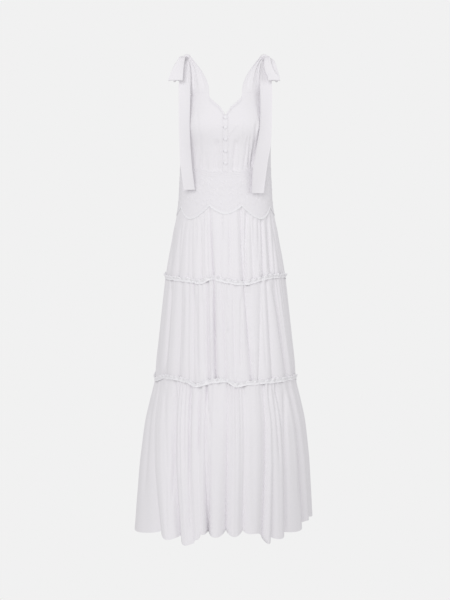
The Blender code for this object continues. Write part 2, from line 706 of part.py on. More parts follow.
def shoulder(side, word, material, collection, cutters):
    """Knot, two straps, two bow loops and two tie ends on one shoulder."""
    centre = (side * KNOT_CENTRE[0], KNOT_CENTRE[1], KNOT_CENTRE[2])
    ellipsoid("knot_" + word, centre, KNOT_RADII, 12, 8, material, collection)
    grown = [r + GAP for r in KNOT_RADII]
    cutter = ellipsoid("clearance_" + word, centre, grown, 16, 10, None, cutters)
    cutter.hide_render = True
    cutter.display_type = "WIRE"
    strap("strap_front_" + word, FRONT, side, FRONT_STRAP, front_edge_at, material, collection, cutter)
    strap("strap_back_" + word, BACK, side, BACK_STRAP, back_edge_at, material, collection, cutter)
    tail, loop = (LEFT_TAIL, LEFT_LOOP) if side == LEFT else (RIGHT_TAIL, RIGHT_LOOP)
    for name, stops in (("tie_front_", tail), ("tie_back_", BACK_TAIL),
                        ("loop_front_", loop), ("loop_back_", BACK_LOOP)):
        ribbon(name + word, stops, side, material, collection, cutter)


def band_and_edge(facing, word, lace, braid, collection):
    """Half the lace band, cut to points below, and the braid sewn over that edge."""
    columns = UPPER_TIER.columns(facing)
    turns = [UPPER_TIER.at(facing, fold, part, 0.0)[0] for fold, part in columns]
    rows = []
    for share in (0.0, 0.5, 1.0):
        heights = [mix(band_top(facing, t) - GAP / 2, band_edge_at(t) + GAP / 2, share) for t in turns]
        rows.append([on_dress(facing, t, z) for t, z in zip(turns, heights)])
    cloth_wall("waistband_" + word, rows, BAND_WALL, lace, collection, square_ends=True)
    lift = 2 * GAP + TRIM_WALL
    rows = []
    for offset in (BAND_EDGE_HALF, -BAND_EDGE_HALF):
        rows.append([on_dress(facing, t, band_edge_at(t) + offset, lift) for t in turns])
    cloth_wall("band_edge_" + word, rows, TRIM_WALL, braid, collection, square_ends=True)


def hem_at(tier, facing, fold, part):
    """Height of the hem at part of the way across a fold of the lowest tier."""
    folds = tier.folds[facing]
    first = folds[max(fold - 1, 0)].hem_valley
    last = folds[min(fold, len(folds) - 1)].hem_valley
    ridge = folds[fold].hem_ridge if fold < len(folds) else HEM_AT_LEFT_SIDE
    return mix(mix(first, last, part), ridge, math.sin(math.pi * part) ** FOLD_ROUNDNESS) * MM


def tier_half(name, tier, facing, shares, material, collection):
    """Front or back of a tier, its columns running down the folds."""
    columns = tier.columns(facing)
    rows = []
    for share in shares:
        row = []
        for fold, part in columns:
            turn, lift = tier.at(facing, fold, part, share)
            top, bottom = tier.top - GAP / 2, tier.bottom + GAP / 2
            if tier is UPPER_TIER:
                top = band_edge_at(tier.at(facing, fold, part, 0.0)[0]) - GAP / 2
            if tier is LOWER_TIER:
                bottom = hem_at(tier, facing, fold, part)
            row.append(on_dress(facing, turn, mix(top, bottom, share), lift))
        rows.append(row)
    cloth_wall(name, rows, SKIRT_WALL, material, collection, square_ends=True)


def ruffle(name, shape, above, below, material, collection):
    """The frilled heading that stands over a tier seam, clear of the walls behind it."""
    count = shape.waves * COLUMNS_A_WAVE
    upper, lower = [], []
    for i in range(count):
        around = 2 * math.pi * i / count - math.pi / 2
        facing = FRONT if i < count / 2 else BACK
        turn = around if facing == FRONT else math.pi - around
        clear = max(above.lift_at(facing, turn, 1.0), below.lift_at(facing, turn, 0.0))
        clear += RUFFLE_CLEARANCE + TRIM_WALL
        wave = 0.5 + 0.5 * math.sin(2 * math.pi * shape.waves * i / count)
        top_stand = clear + RUFFLE_TOP_STAND + shape.reach * wave
        foot_stand = clear + RUFFLE_FOOT_STAND + RUFFLE_FOOT_WAVE * wave
        upper.append(on_dress(facing, turn, shape.seam + RUFFLE_ABOVE, top_stand))
        lower.append(on_dress(facing, turn, shape.seam - RUFFLE_BELOW, foot_stand))
    cloth_wall(name, [upper, lower], TRIM_WALL, material, collection, wrap=True)


def neckline_trim(material, collection):
    """Narrow lace along each side of the V neck, over the panel's edge."""
    lift = 2 * GAP + TRIM_WALL
    for name, side in (("neck_trim_left", LEFT), ("neck_trim_right", RIGHT)):
        rows = []
        for offset in (NECK_TRIM_ABOVE, -NECK_TRIM_BELOW):
            heights = [front_edge_at(d) + offset for d in NECK_TRIM_TURNS]
            turns = [side * math.radians(d) for d in NECK_TRIM_TURNS]
            rows.append([on_dress(FRONT, t, z, lift) for t, z in zip(turns, heights)])
        cloth_wall(name, rows, TRIM_WALL, material, collection)


def placket_and_buttons(cloth, button, collection):
    """The strip down the centre front and its covered buttons."""
    lift = PLACKET_STAND + TRIM_WALL
    rows = []
    for i in range(PLACKET_ROWS + 1):
        height = mix(PLACKET_TOP, BAND_TOP_FRONT[0].height + GAP, i / PLACKET_ROWS)
        turn = PLACKET_HALF / half_width_at(height)
        rows.append([on_dress(FRONT, turn * c, height, lift) for c in (-1.0, 0.0, 1.0)])
    cloth_wall("placket", rows, TRIM_WALL, cloth, collection)
    for i, height in enumerate(BUTTON_HEIGHTS):
        face = on_dress(FRONT, 0.0, height, lift)
        run = on_dress(FRONT, 0.0, height + BUTTON_BED, lift) - on_dress(FRONT, 0.0, height - BUTTON_BED, lift)
        tilt = math.atan2(-run.y, run.z)
        out = Vector((0.0, -math.cos(tilt), -math.sin(tilt)))
        centre = face + out * (BUTTON_DEPTH + GAP)
        ellipsoid(f"button_{i + 1}", centre, (BUTTON_RADIUS, BUTTON_DEPTH, BUTTON_RADIUS), 10, 6,
                  button, collection, tilt)


def clear_scene():
    for item in list(bpy.data.objects):
        bpy.data.objects.remove(item, do_unlink=True)


def main():
    clear_scene()
    dress = new_collection("maxi_dress")
    cutters = new_collection("cutters")
    voile = new_material("voile", (0.80, 0.79, 0.82), 0.85)
    lace = new_material("lace", (0.82, 0.81, 0.83), 0.90)
    button = new_material("button", (0.84, 0.83, 0.85), 0.55)
    bodice(voile, dress)
    placket_and_buttons(voile, button, dress)
    neckline_trim(lace, dress)
    for facing, word in ((FRONT, "front"), (BACK, "back")):
        band_and_edge(facing, word, lace, lace, dress)
        tier_half("tier_upper_" + word, UPPER_TIER, facing, UPPER_ROWS, voile, dress)
        tier_half("tier_middle_" + word, MIDDLE_TIER, facing, MIDDLE_ROWS, voile, dress)
        tier_half("tier_lower_" + word, LOWER_TIER, facing, LOWER_ROWS, voile, dress)
    ruffle("ruffle_upper", UPPER_RUFFLE, UPPER_TIER, MIDDLE_TIER, lace, dress)
    ruffle("ruffle_lower", LOWER_RUFFLE, MIDDLE_TIER, LOWER_TIER, lace, dress)
    shoulder(LEFT, "left", voile, dress, cutters)
    shoulder(RIGHT, "right", voile, dress, cutters)


main()
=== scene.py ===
# %% [markdown]
# # A tiered maxi dress in white voile
# The dress hangs as it does on a wearer, with nobody inside. The CAD model holds a plain solid for
# every piece that a maker would cut. This lesson lays cloth over each of them: a thin shell with the
# folds, gathers, lace and stitches of the real garment, and the materials to go with it.
#
# Everything is in metres. The front faces -Y, the wearer's left is at +X, and the origin lies midway
# between the shoulders.

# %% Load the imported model
import math
from collections import namedtuple

import bpy
import numpy as np
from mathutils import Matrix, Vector


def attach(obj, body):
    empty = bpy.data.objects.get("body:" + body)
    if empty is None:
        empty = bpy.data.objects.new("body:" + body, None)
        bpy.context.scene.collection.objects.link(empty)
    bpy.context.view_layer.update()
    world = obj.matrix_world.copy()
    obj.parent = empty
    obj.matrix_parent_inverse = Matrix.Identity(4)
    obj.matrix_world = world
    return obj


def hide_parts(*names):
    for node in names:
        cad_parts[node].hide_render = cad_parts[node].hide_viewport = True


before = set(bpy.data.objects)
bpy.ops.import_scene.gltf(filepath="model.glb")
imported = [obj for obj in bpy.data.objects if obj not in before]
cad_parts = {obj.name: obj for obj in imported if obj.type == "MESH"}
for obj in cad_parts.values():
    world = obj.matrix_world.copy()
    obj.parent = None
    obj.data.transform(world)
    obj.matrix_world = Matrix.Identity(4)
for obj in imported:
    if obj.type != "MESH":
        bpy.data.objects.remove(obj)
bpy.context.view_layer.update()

# %% [markdown]
# ## Camera
# A camera can be placed by eye, but a dress has few straight lines to judge it by. Here it was worked
# out instead: the far side of the hem shows a little below the near side by an amount that fixes how
# far away and how high the lens is. The same numbers also tell where any point of the dress shows in
# the picture, which is handy later for laying creases where they belong.

# %% Camera
CAMERA_AWAY = 4.3
CAMERA_HEIGHT = -0.42
FOCAL_PIXELS = 1433.0
CAMERA_DIP = math.atan(100 / FOCAL_PIXELS)
PICTURE_WIDTH, PICTURE_HEIGHT = 450, 600
DRESS_MIDDLE = 225.5
SENSOR_HEIGHT = 24.0


def add_camera():
    data = bpy.data.cameras.new("camera")
    data.sensor_fit = "VERTICAL"
    data.sensor_height = SENSOR_HEIGHT
    data.lens = SENSOR_HEIGHT * FOCAL_PIXELS / PICTURE_HEIGHT
    data.shift_x = (PICTURE_WIDTH / 2 - DRESS_MIDDLE) / PICTURE_HEIGHT
    camera = bpy.data.objects.new("camera", data)
    camera.location = (0, -CAMERA_AWAY, CAMERA_HEIGHT)
    camera.rotation_euler = (math.pi / 2 - CAMERA_DIP, 0, 0)
    bpy.context.scene.collection.objects.link(camera)
    bpy.context.scene.camera = camera


def seen(points):
    """Where points of the dress show in the picture: pixels across and down."""
    ahead = points[..., 1] + CAMERA_AWAY
    above = points[..., 2] - CAMERA_HEIGHT
    away = ahead * math.cos(CAMERA_DIP) - above * math.sin(CAMERA_DIP)
    up = ahead * math.sin(CAMERA_DIP) + above * math.cos(CAMERA_DIP)
    return DRESS_MIDDLE + FOCAL_PIXELS * points[..., 0] / away, PICTURE_HEIGHT / 2 - FOCAL_PIXELS * up / away


add_camera()
print("camera at", tuple(bpy.context.scene.camera.location))

# %% [markdown]
# ## The figure under the cloth
# A dressmaker starts from measurements taken round the body at several heights. The table below does
# the same: half the width, and the depth before and behind the side seams, from hem to shoulder. A
# smooth curve through each column gives a section at any height, and one function then turns an angle,
# a height and a lift into a point of the dress.

# %% Measurements
FRONT, BACK = -1, 1
LEFT, RIGHT = 1, -1
FACINGS = (("front", FRONT), ("back", BACK))
SIDES = (("left", LEFT), ("right", RIGHT))
MM = 0.001
GAP = 0.0003
SEAM_GAP = 0.00002



def table(kind, *rows):
    """A table whose rows all have the same named columns."""
    return tuple(kind(*row) for row in rows)


Section = namedtuple("Section", "height half_width front back")
FIGURE = table(
    Section,
    (-1.430, 0.2715, 0.237, 0.245),
    (-1.330, 0.2655, 0.231, 0.239),
    (-1.267, 0.2610, 0.227, 0.235),
    (-1.206, 0.2565, 0.222, 0.230),
    (-1.145, 0.2495, 0.215, 0.223),
    (-1.084, 0.2415, 0.207, 0.214),
    (-1.023, 0.2280, 0.195, 0.202),
    (-0.955, 0.2125, 0.183, 0.190),
    (-0.902, 0.2085, 0.177, 0.183),
    (-0.841, 0.2015, 0.170, 0.176),
    (-0.720, 0.1880, 0.157, 0.162),
    (-0.652, 0.1800, 0.150, 0.155),
    (-0.600, 0.1718, 0.141, 0.146),
    (-0.540, 0.1605, 0.130, 0.135),
    (-0.510, 0.1552, 0.125, 0.128),
    (-0.480, 0.1485, 0.118, 0.119),
    (-0.450, 0.1435, 0.111, 0.112),
    (-0.420, 0.1395, 0.106, 0.105),
    (-0.390, 0.1376, 0.102, 0.100),
    (-0.333, 0.1355, 0.098, 0.094),
    (-0.270, 0.1350, 0.103, 0.096),
    (-0.205, 0.1365, 0.112, 0.099),
    (-0.160, 0.1320, 0.104, 0.094),
    (-0.120, 0.1220, 0.091, 0.086),
    (-0.080, 0.1130, 0.077, 0.077),
)
UPPER_SEAM = -0.652
LOWER_SEAM = -0.955
HEM = -1.390
HEM_SWING = 0.35  # the lowest tier swings round by this share of its reach
BUST_TURN, BUST_SPREAD = 36.0, 21.0
BUST_HEIGHT, BUST_TALL, BUST_FULLNESS = -0.208, 0.050, 0.012


def smooth_curve(pairs):
    """A curve through rising (station, value) pairs that never swings past them."""
    station = np.array([p[0] for p in pairs], float)
    value = np.array([p[1] for p in pairs], float)
    slope = np.diff(value) / np.diff(station)
    product = slope[:-1] * slope[1:]
    total = np.where(product > 0, slope[:-1] + slope[1:], 1.0)
    inner = np.where(product > 0, 2 * product / total, 0.0)
    tangent = np.concatenate((slope[:1], inner, slope[-1:]))

    def curve(at):
        at = np.clip(at, station[0], station[-1])
        i = np.clip(np.searchsorted(station, at, "right") - 1, 0, len(station) - 2)
        step = station[i + 1] - station[i]
        t = (at - station[i]) / step
        start = (1 + 2 * t) * (1 - t) ** 2 * value[i] + t * (1 - t) ** 2 * step * tangent[i]
        return start + t * t * (3 - 2 * t) * value[i + 1] + t * t * (t - 1) * step * tangent[i + 1]

    return curve


half_width_at = smooth_curve([(s.height, s.half_width) for s in FIGURE])
front_depth_at = smooth_curve([(s.height, s.front) for s in FIGURE])
back_depth_at = smooth_curve([(s.height, s.back) for s in FIGURE])
print("waist half width:", round(float(half_width_at(-0.333)), 4))

# %% A point of the dress
def mix(a, b, share):
    return a + (b - a) * share


def ramp(t):
    """0 below 0, 1 above 1, and a soft rise between."""
    t = np.clip(t, 0.0, 1.0)
    return t * t * (3 - 2 * t)


def depth_at(facing, height):
    return np.where(facing == FRONT, front_depth_at(height), back_depth_at(height))


def on_dress(facing, turn, height, lift=0.0):
    """Points at an angle from the front or back centre line, lift metres out."""
    facing, turn, height, lift = np.broadcast_arrays(facing, turn, height, lift)
    half_width, depth = half_width_at(height), depth_at(facing, height)
    aside = (np.abs(np.degrees(turn)) - BUST_TURN) / BUST_SPREAD
    above = (height - BUST_HEIGHT) / BUST_TALL
    out = lift + BUST_FULLNESS * np.exp(-aside * aside - above * above) * (facing == FRONT)
    aim_x, aim_y = np.sin(turn) / half_width, facing * np.cos(turn) / depth
    reach = np.hypot(aim_x, aim_y)
    x = half_width * np.sin(turn) + aim_x / reach * out
    y = facing * depth * np.cos(turn) + aim_y / reach * out
    swing = HEM_SWING * np.maximum(0.0, (LOWER_SEAM - height) / (LOWER_SEAM - HEM))
    return np.stack((x, y + x * swing, height), axis=-1)


def layer(facing, turn, height, lift, thickness):
    """Outer and inner points of a cloth that lies on the dress."""
    return on_dress(facing, turn, height, lift), on_dress(facing, turn, height, lift - thickness)


def side_turn(facing, height):
    """The angle of the side seam, where the two cut edges all but meet."""
    return math.pi / 2 - SEAM_GAP / 2 / depth_at(facing, height)


print("bust point:", on_dress(FRONT, np.radians(BUST_TURN), BUST_HEIGHT).round(3))

# %% [markdown]
# ## Thin cloth
# A plane with Solidify makes thin cloth by hand. Folded voile needs thousands of points that all
# follow one rule, so here each sheet is a grid worked out in code: its outer points, the same points
# a cloth's thickness further in, and the four edges that close it. Every sheet gets a UV map in real
# metres, so that the weave keeps its scale whatever the folds do.

# %% Thin cloth
VOILE_THICKNESS = 0.0005
SHARP_ANGLE = 60


def grid_faces(rows, columns, around):
    """Quads of a closed sheet: outer side, inner side and rims."""
    place = np.arange(rows * columns).reshape(rows, columns)
    if around:
        place = np.concatenate((place, place[:, :1]), axis=1)
    inner = place + rows * columns
    a, b, c, d = place[:-1, :-1], place[:-1, 1:], place[1:, 1:], place[1:, :-1]
    e, f, g, h = inner[:-1, :-1], inner[:-1, 1:], inner[1:, 1:], inner[1:, :-1]
    quads = [np.stack((a, b, c, d), -1).reshape(-1, 4), np.stack((e, h, g, f), -1).reshape(-1, 4)]
    quads.append(np.stack((place[0, :-1], inner[0, :-1], inner[0, 1:], place[0, 1:]), -1))
    quads.append(np.stack((place[-1, :-1], place[-1, 1:], inner[-1, 1:], inner[-1, :-1]), -1))
    if not around:
        quads.append(np.stack((place[:-1, 0], place[1:, 0], inner[1:, 0], inner[:-1, 0]), -1))
        quads.append(np.stack((place[:-1, -1], inner[:-1, -1], inner[1:, -1], place[1:, -1]), -1))
    return np.concatenate(quads)


def volume_of(points, quads):
    """Signed volume: below zero when the faces point inwards."""
    a, b, c, d = (points[quads[:, i]] for i in range(4))
    return float((a * np.cross(b, c)).sum() + (a * np.cross(c, d)).sum()) / 6


def lengths_along(points, axis):
    """Distance in metres travelled along a grid's rows or columns."""
    steps = np.linalg.norm(np.diff(points, axis=axis), axis=-1)
    start = np.zeros_like(np.take(steps, [0], axis=axis))
    return np.concatenate((start, np.cumsum(steps, axis=axis)), axis=axis)


def sheet_mesh(name, outer, inner, around=False, relief=None):
    """A closed thin sheet from two grids of points, with its UV map in metres."""
    rows, columns = outer.shape[:2]
    points = np.concatenate((outer.reshape(-1, 3), inner.reshape(-1, 3)))
    quads = grid_faces(rows, columns, around)
    if volume_of(points, quads) < 0:
        quads = quads[:, ::-1]
    mesh = bpy.data.meshes.new(name)
    mesh.from_pydata(points.tolist(), [], quads.tolist())
    across = np.broadcast_to(lengths_along(outer, 1).mean(axis=0), (rows, columns))
    down = np.broadcast_to(lengths_along(outer, 0).mean(axis=1)[:, None], (rows, columns))
    uv = np.tile(np.stack((across, -down), -1).reshape(-1, 2), (2, 1))
    corner = np.zeros(len(mesh.loops), np.int32)
    mesh.loops.foreach_get("vertex_index", corner)
    mesh.uv_layers.new(name="cloth").data.foreach_set("uv", uv[corner].astype(np.float32).ravel())
    if relief is not None:
        layer = mesh.attributes.new("motif", "FLOAT", "POINT")
        layer.data.foreach_set("value", np.tile(relief.ravel(), 2).astype(np.float32))
    mesh.shade_smooth()
    mesh.set_sharp_from_angle(angle=math.radians(SHARP_ANGLE))
    item = bpy.data.objects.new(name, mesh)
    bpy.context.scene.collection.objects.link(item)
    return item


def thicken(points, thickness):
    """The same grid moved in along its own normals, for ribbons that turn every way."""
    along, across = np.gradient(points, axis=0), np.gradient(points, axis=1)
    normal = np.cross(across, along)
    normal /= np.maximum(np.linalg.norm(normal, axis=-1, keepdims=True), 1e-12)
    return points + normal * thickness / 2, points - normal * thickness / 2


def sew_on(item, material, nodes):
    """Gives a finished piece its material, hangs it under the root and hides the solids it takes the place
    of.
    """
    item.data.materials.clear()
    item.data.materials.append(material)
    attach(item, "root")
    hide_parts(*nodes)
    item.data.calc_loop_triangles()
    return item


print("voile is", VOILE_THICKNESS * 1000, "mm here")

# %% [markdown]
# ## Voile
# Cotton voile is a thin plain weave: matt, a little uneven, with slubs where the yarn thickens. In
# Blender it is a Principled shader with high roughness and a faint sheen. Two wave patterns on the
# UV map cross to make the weave, and stretched noise makes the slubs, in colour and in height.

# %% Voile
YARN = 0.0007
VOILE_LIGHT = (0.905, 0.888, 0.912)
VOILE_DARK = (0.882, 0.865, 0.891)
WAVE_PERIOD = 0.314  # the bands of a Wave texture at scale 1
SLUB_STRETCH = (110.0, 1700.0, 1.0)


def set_inputs(node, **values):
    """Sets a node's inputs by name, with _ for a space."""
    for name, value in values.items():
        node.inputs[name.replace("_", " ")].default_value = value


def add_node(tree, kind, **values):
    """A new node with its properties and inputs set by name."""
    node = tree.nodes.new(kind)
    for name, value in values.items():
        if hasattr(node, name):
            setattr(node, name, value)
        else:
            set_inputs(node, **{name: value})
    return node


def link(source, output, target, entry):
    source.id_data.links.new(source.outputs[output], target.inputs[entry])


def woven(name, light, dark, roughness, sheen, weave_depth, yarn=YARN, uv="cloth"):
    """A woven cloth whose threads follow the sheet's UV map."""
    material = bpy.data.materials.new(name)
    material.use_nodes = True
    tree = material.node_tree
    shader = tree.nodes["Principled BSDF"]
    set_inputs(shader, Roughness=roughness, Sheen_Weight=sheen, Sheen_Roughness=0.6, Specular_IOR_Level=0.2)
    place = add_node(tree, "ShaderNodeUVMap", name="place", uv_map=uv)
    cross = add_node(tree, "ShaderNodeMath", operation="MULTIPLY")
    for i, direction in enumerate("XY"):
        wave = add_node(tree, "ShaderNodeTexWave", bands_direction=direction, Scale=WAVE_PERIOD / yarn,
                        Distortion=1.5, Detail_Scale=0.6)
        link(place, "UV", wave, "Vector")
        link(wave, "Fac", cross, i)
    slubs = add_node(tree, "ShaderNodeMapping", Scale=SLUB_STRETCH)
    link(place, "UV", slubs, "Vector")
    noise = add_node(tree, "ShaderNodeTexNoise", Scale=1.0, Detail=3.0)
    link(slubs, "Vector", noise, "Vector")
    colour = add_node(tree, "ShaderNodeValToRGB", name="colour")
    for stop, position, shade in zip(colour.color_ramp.elements, (0.35, 0.60), (dark, light)):
        stop.position = position
        stop.color = (*shade, 1)
    link(noise, "Fac", colour, "Fac")
    link(colour, "Color", shader, "Base Color")
    height = add_node(tree, "ShaderNodeMath", operation="ADD")
    link(cross, "Value", height, 0)
    link(noise, "Fac", height, 1)
    bump = add_node(tree, "ShaderNodeBump", Strength=weave_depth, Distance=0.0001)
    link(height, "Value", bump, "Height")
    link(bump, "Normal", shader, "Normal")
    return material


voile = woven("voile", VOILE_LIGHT, VOILE_DARK, 0.88, 0.15, 0.35)
print("made", voile.name)

# %% [markdown]
# ## Lace
# The band and the neck edge are cotton lace: close stitches over a fine net, with flowers and leaves
# that stand up from it. The raised shapes are real relief in the mesh, which also writes an attribute
# called motif. The material reads it to make the motifs whiter and to keep the net between them.

# %% Lace
NET_CELL = 0.0016
NET_SHADE = (0.855, 0.84, 0.872, 1)


def lace_material():
    """Woven cloth that turns to open net wherever the motif attribute is low."""
    material = woven("lace", VOILE_LIGHT, VOILE_DARK, 0.9, 0.1, 0.5, yarn=0.0009)
    tree = material.node_tree
    net = add_node(tree, "ShaderNodeTexVoronoi", feature="DISTANCE_TO_EDGE", Scale=1 / NET_CELL)
    link(tree.nodes["place"], "UV", net, "Vector")
    hole = add_node(tree, "ShaderNodeMapRange", From_Max=0.35)
    link(net, "Distance", hole, "Value")
    motif = add_node(tree, "ShaderNodeAttribute", attribute_name="motif")
    plain = add_node(tree, "ShaderNodeMath", operation="SUBTRACT")
    plain.inputs[0].default_value = 1.0
    link(motif, "Fac", plain, 1)
    open_net = add_node(tree, "ShaderNodeMath", operation="MULTIPLY")
    link(hole, "Result", open_net, 0)
    link(plain, "Value", open_net, 1)
    shade = add_node(tree, "ShaderNodeMix", data_type="RGBA")
    shade.inputs[7].default_value = NET_SHADE
    link(open_net, "Value", shade, "Factor")
    link(tree.nodes["colour"], "Color", shade, 6)
    link(shade, 2, tree.nodes["Principled BSDF"], "Base Color")
    return material


lace = lace_material()
thread = woven("thread", (0.93, 0.925, 0.94), (0.89, 0.885, 0.91), 0.7, 0.1, 0.4, yarn=0.0004)
print("made", lace.name, "and", thread.name)

# %% [markdown]
# ## Creases
# No two folds of a hung dress are alike. The main folds come from tables shared with the solids, and
# the smaller creases are pressed into the cloth one by one. Each row below is one crease as it shows
# in the picture: its two ends in pixels, how far it bows sideways, its depth in millimetres and half
# its width in pixels. A depth below zero is a ridge. The hidden back gets the same creases, moved.

# %% Creases
Crease = namedtuple("Crease", "x_top y_top x_low y_low bow depth width")


def pressed(points, facing, creases, soft_end=0.16):
    """How far the creases lift the cloth at each point, in metres."""
    if facing == BACK:
        points = points * np.array((-1.0, -1.0, 1.0))
    x, y = seen(points)
    if facing == BACK:
        x = x + 3.0 * np.sin(y / 31.0) + 2.0
    lift = np.zeros(x.shape)
    for c in creases:
        t = (y - c.y_top) / (c.y_low - c.y_top)
        across = (x - mix(c.x_top, c.x_low, t) - c.bow * 4 * t * (1 - t)) / c.width
        ends = ramp(t / soft_end) * ramp((1 - t) / soft_end)
        lift -= c.depth * MM * np.exp(-across * across) * ends
    return lift


def gathers(arc, below, depth, wave, reach, start=0.0, narrow=1.0):
    """Small uneven pleats that hang from a gathered edge and fade out below it."""
    beat = arc / wave
    turns = beat + 0.45 * np.sin(beat * 1.37 + start) + 0.30 * np.sin(beat * 0.53 + 2 * start)
    uneven = 0.65 + 0.35 * np.sin(beat * 0.81 + start)
    fade = np.exp(-below / (reach * (0.8 + 0.5 * np.sin(beat * 1.9 + start) ** 2)))
    return -depth * uneven * (0.5 - 0.5 * np.cos(2 * math.pi * turns)) ** narrow * fade


print("crease and gather rules are ready")

# %% [markdown]
# ## Skirt tiers
# Each tier is a strip of voile, far wider than the seam above it, gathered on to that seam. The
# gathers open into round folds with narrow valleys between them. A row of the tables gives one valley:
# its distance from the centre line at the tier's two edges, and its depth at the top, middle and
# bottom, in millimetres.

# %% Folds of the skirt
Fold = namedtuple("Fold", "top bottom depth_top depth_middle depth_bottom")
UPPER_FOLDS = table(
    Fold,
    (-132, -168, 1.0, 3.0, 4.5),
    (-115, -140, 1.0, 2.5, 4.0),
    (-95, -97, 1.0, 3.0, 3.5),
    (-69, -70, 1.0, 2.5, 3.0),
    (-47, -34, 3.0, 9.0, 11.0),
    (-17, -14, 1.0, 3.0, 3.0),
    (13, 12, 1.5, 4.0, 5.0),
    (42, 54, 3.0, 11.0, 15.0),
    (72, 82, 2.0, 5.0, 5.0),
    (102, 110, 2.0, 5.0, 6.0),
    (122, 138, 2.0, 6.0, 8.0),
    (136, 168, 1.0, 5.0, 8.0),
)
MIDDLE_FOLDS = table(
    Fold,
    (-158, -180, 4.0, 6.0, 6.0),
    (-128, -140, 3.5, 8.0, 8.0),
    (-95, -93, 3.0, 4.5, 4.5),
    (-53, -48, 5.0, 10.0, 10.0),
    (-34, -29, 8.0, 16.0, 16.0),
    (-10, 3, 4.0, 8.0, 8.0),
    (19, 30, 2.0, 4.0, 4.0),
    (56, 80, 12.0, 16.0, 12.0),
    (106, 97, 4.0, 7.0, 7.0),
    (121, 141, 4.5, 9.0, 9.0),
    (146, 187, 5.0, 9.0, 9.0),
    (170, 206, 5.0, 8.0, 9.0),
)
HemFold = namedtuple("HemFold", Fold._fields + ("hem_ridge", "hem_valley"))
LOWER_FOLDS = table(
    HemFold,
    (-200, -196, 4.0, 9.0, 16.0, -1393, -1375),
    (-145, -137, 6.0, 13.0, 24.0, -1394, -1383),
    (-105, -92, 6.0, 7.0, 6.0, -1408, -1402),
    (-73, -73, 6.0, 4.0, 3.0, -1392, -1379),
    (-57, -56, 9.0, 11.0, 30.0, -1378, -1375),
    (7, 1, 9.0, 17.0, 28.0, -1388, -1372),
    (50, 53, 8.0, 10.0, 22.0, -1390, -1377),
    (113, 113, 9.0, 17.0, 24.0, -1388, -1406),
    (129, 140, 3.0, 5.0, 18.0, -1426, -1410),
    (149, 186, 7.0, 13.0, 22.0, -1419, -1406),
    (188, 246, 6.0, 14.0, 24.0, -1412, -1399),
    (204, 259, 4.0, 8.0, 14.0, -1393, -1384),
)
HEM_AT_LEFT_SIDE = -1396
FOLD_ROUNDNESS = 0.75


def hidden_folds(folds):
    """The back's folds: the front's, seen from the other side, each a little moved."""
    rows = []
    for i, f in enumerate(reversed(folds)):
        shift = 4.0 * math.sin(1.7 * i)
        scale = 0.95 + 0.15 * math.sin(2.1 * i)
        moved = f._replace(top=-f.top * 0.98 + shift, bottom=-f.bottom * 0.98 + shift)
        depths = {name: getattr(f, name) * scale for name in ("depth_top", "depth_middle", "depth_bottom")}
        rows.append(moved._replace(**depths))
    if hasattr(folds[0], "hem_ridge"):
        rows[0] = rows[0]._replace(hem_ridge=folds[0].hem_ridge)
    return rows


print("folds on each side of a tier:", len(UPPER_FOLDS))

# %% [markdown]
# The gathered seams of a real skirt are never level: where a fold swings out the seam drops, and where
# it is caught back the seam rises. Each table below gives the seam's rise at angles from the centre
# line, in degrees and millimetres. The back has the same wave, seen from the other side.

# %% Wavy seams
Rise = namedtuple("Rise", "turn rise")
UPPER_SEAM_WAVE = table(
    Rise,
    (-90, 0.0), (-53, -1.0), (-36, -4.0), (-24, -8.5), (-12, 5.5), (-6, 0.5), (1, -5.0),
    (10, -9.5), (18, -11.0), (27, -6.0), (35, -0.5), (50, 6.0), (73, 6.0), (90, 0.0),
)
LOWER_SEAM_WAVE = table(
    Rise,
    (-90, -2.0), (-80, -3.0), (-56, 13.0), (-43, 12.0), (-33, 8.0), (-24, -4.0), (-17, 2.0), (-10, 9.5),
    (0, 12.5), (8, -2.0), (18, 3.0), (30, 4.5), (48, 5.5), (78, 5.0), (90, -2.0),
)
SEAM_WAVES = {UPPER_SEAM: smooth_curve(UPPER_SEAM_WAVE), LOWER_SEAM: smooth_curve(LOWER_SEAM_WAVE)}


def seam_rise(seam, facing, turn):
    """How far a wavy seam lies above its level line."""
    return SEAM_WAVES[seam](np.degrees(turn) * -np.asarray(facing)) * MM


print("the upper seam's wave is", round(UPPER_SEAM_WAVE[4].rise - UPPER_SEAM_WAVE[8].rise), "mm high")

# %% A tier's surface
COLUMN_STEP = 0.0021
VALLEY_CROWDING = 0.10  # columns stand closer together in the valleys
VALLEY_SOFTNESS = 0.05


def past_the_sides(turns):
    """Valley angles with one more valley beyond each side seam."""
    return np.concatenate(([-math.pi - turns[0]], turns, [math.pi - turns[-1]]))


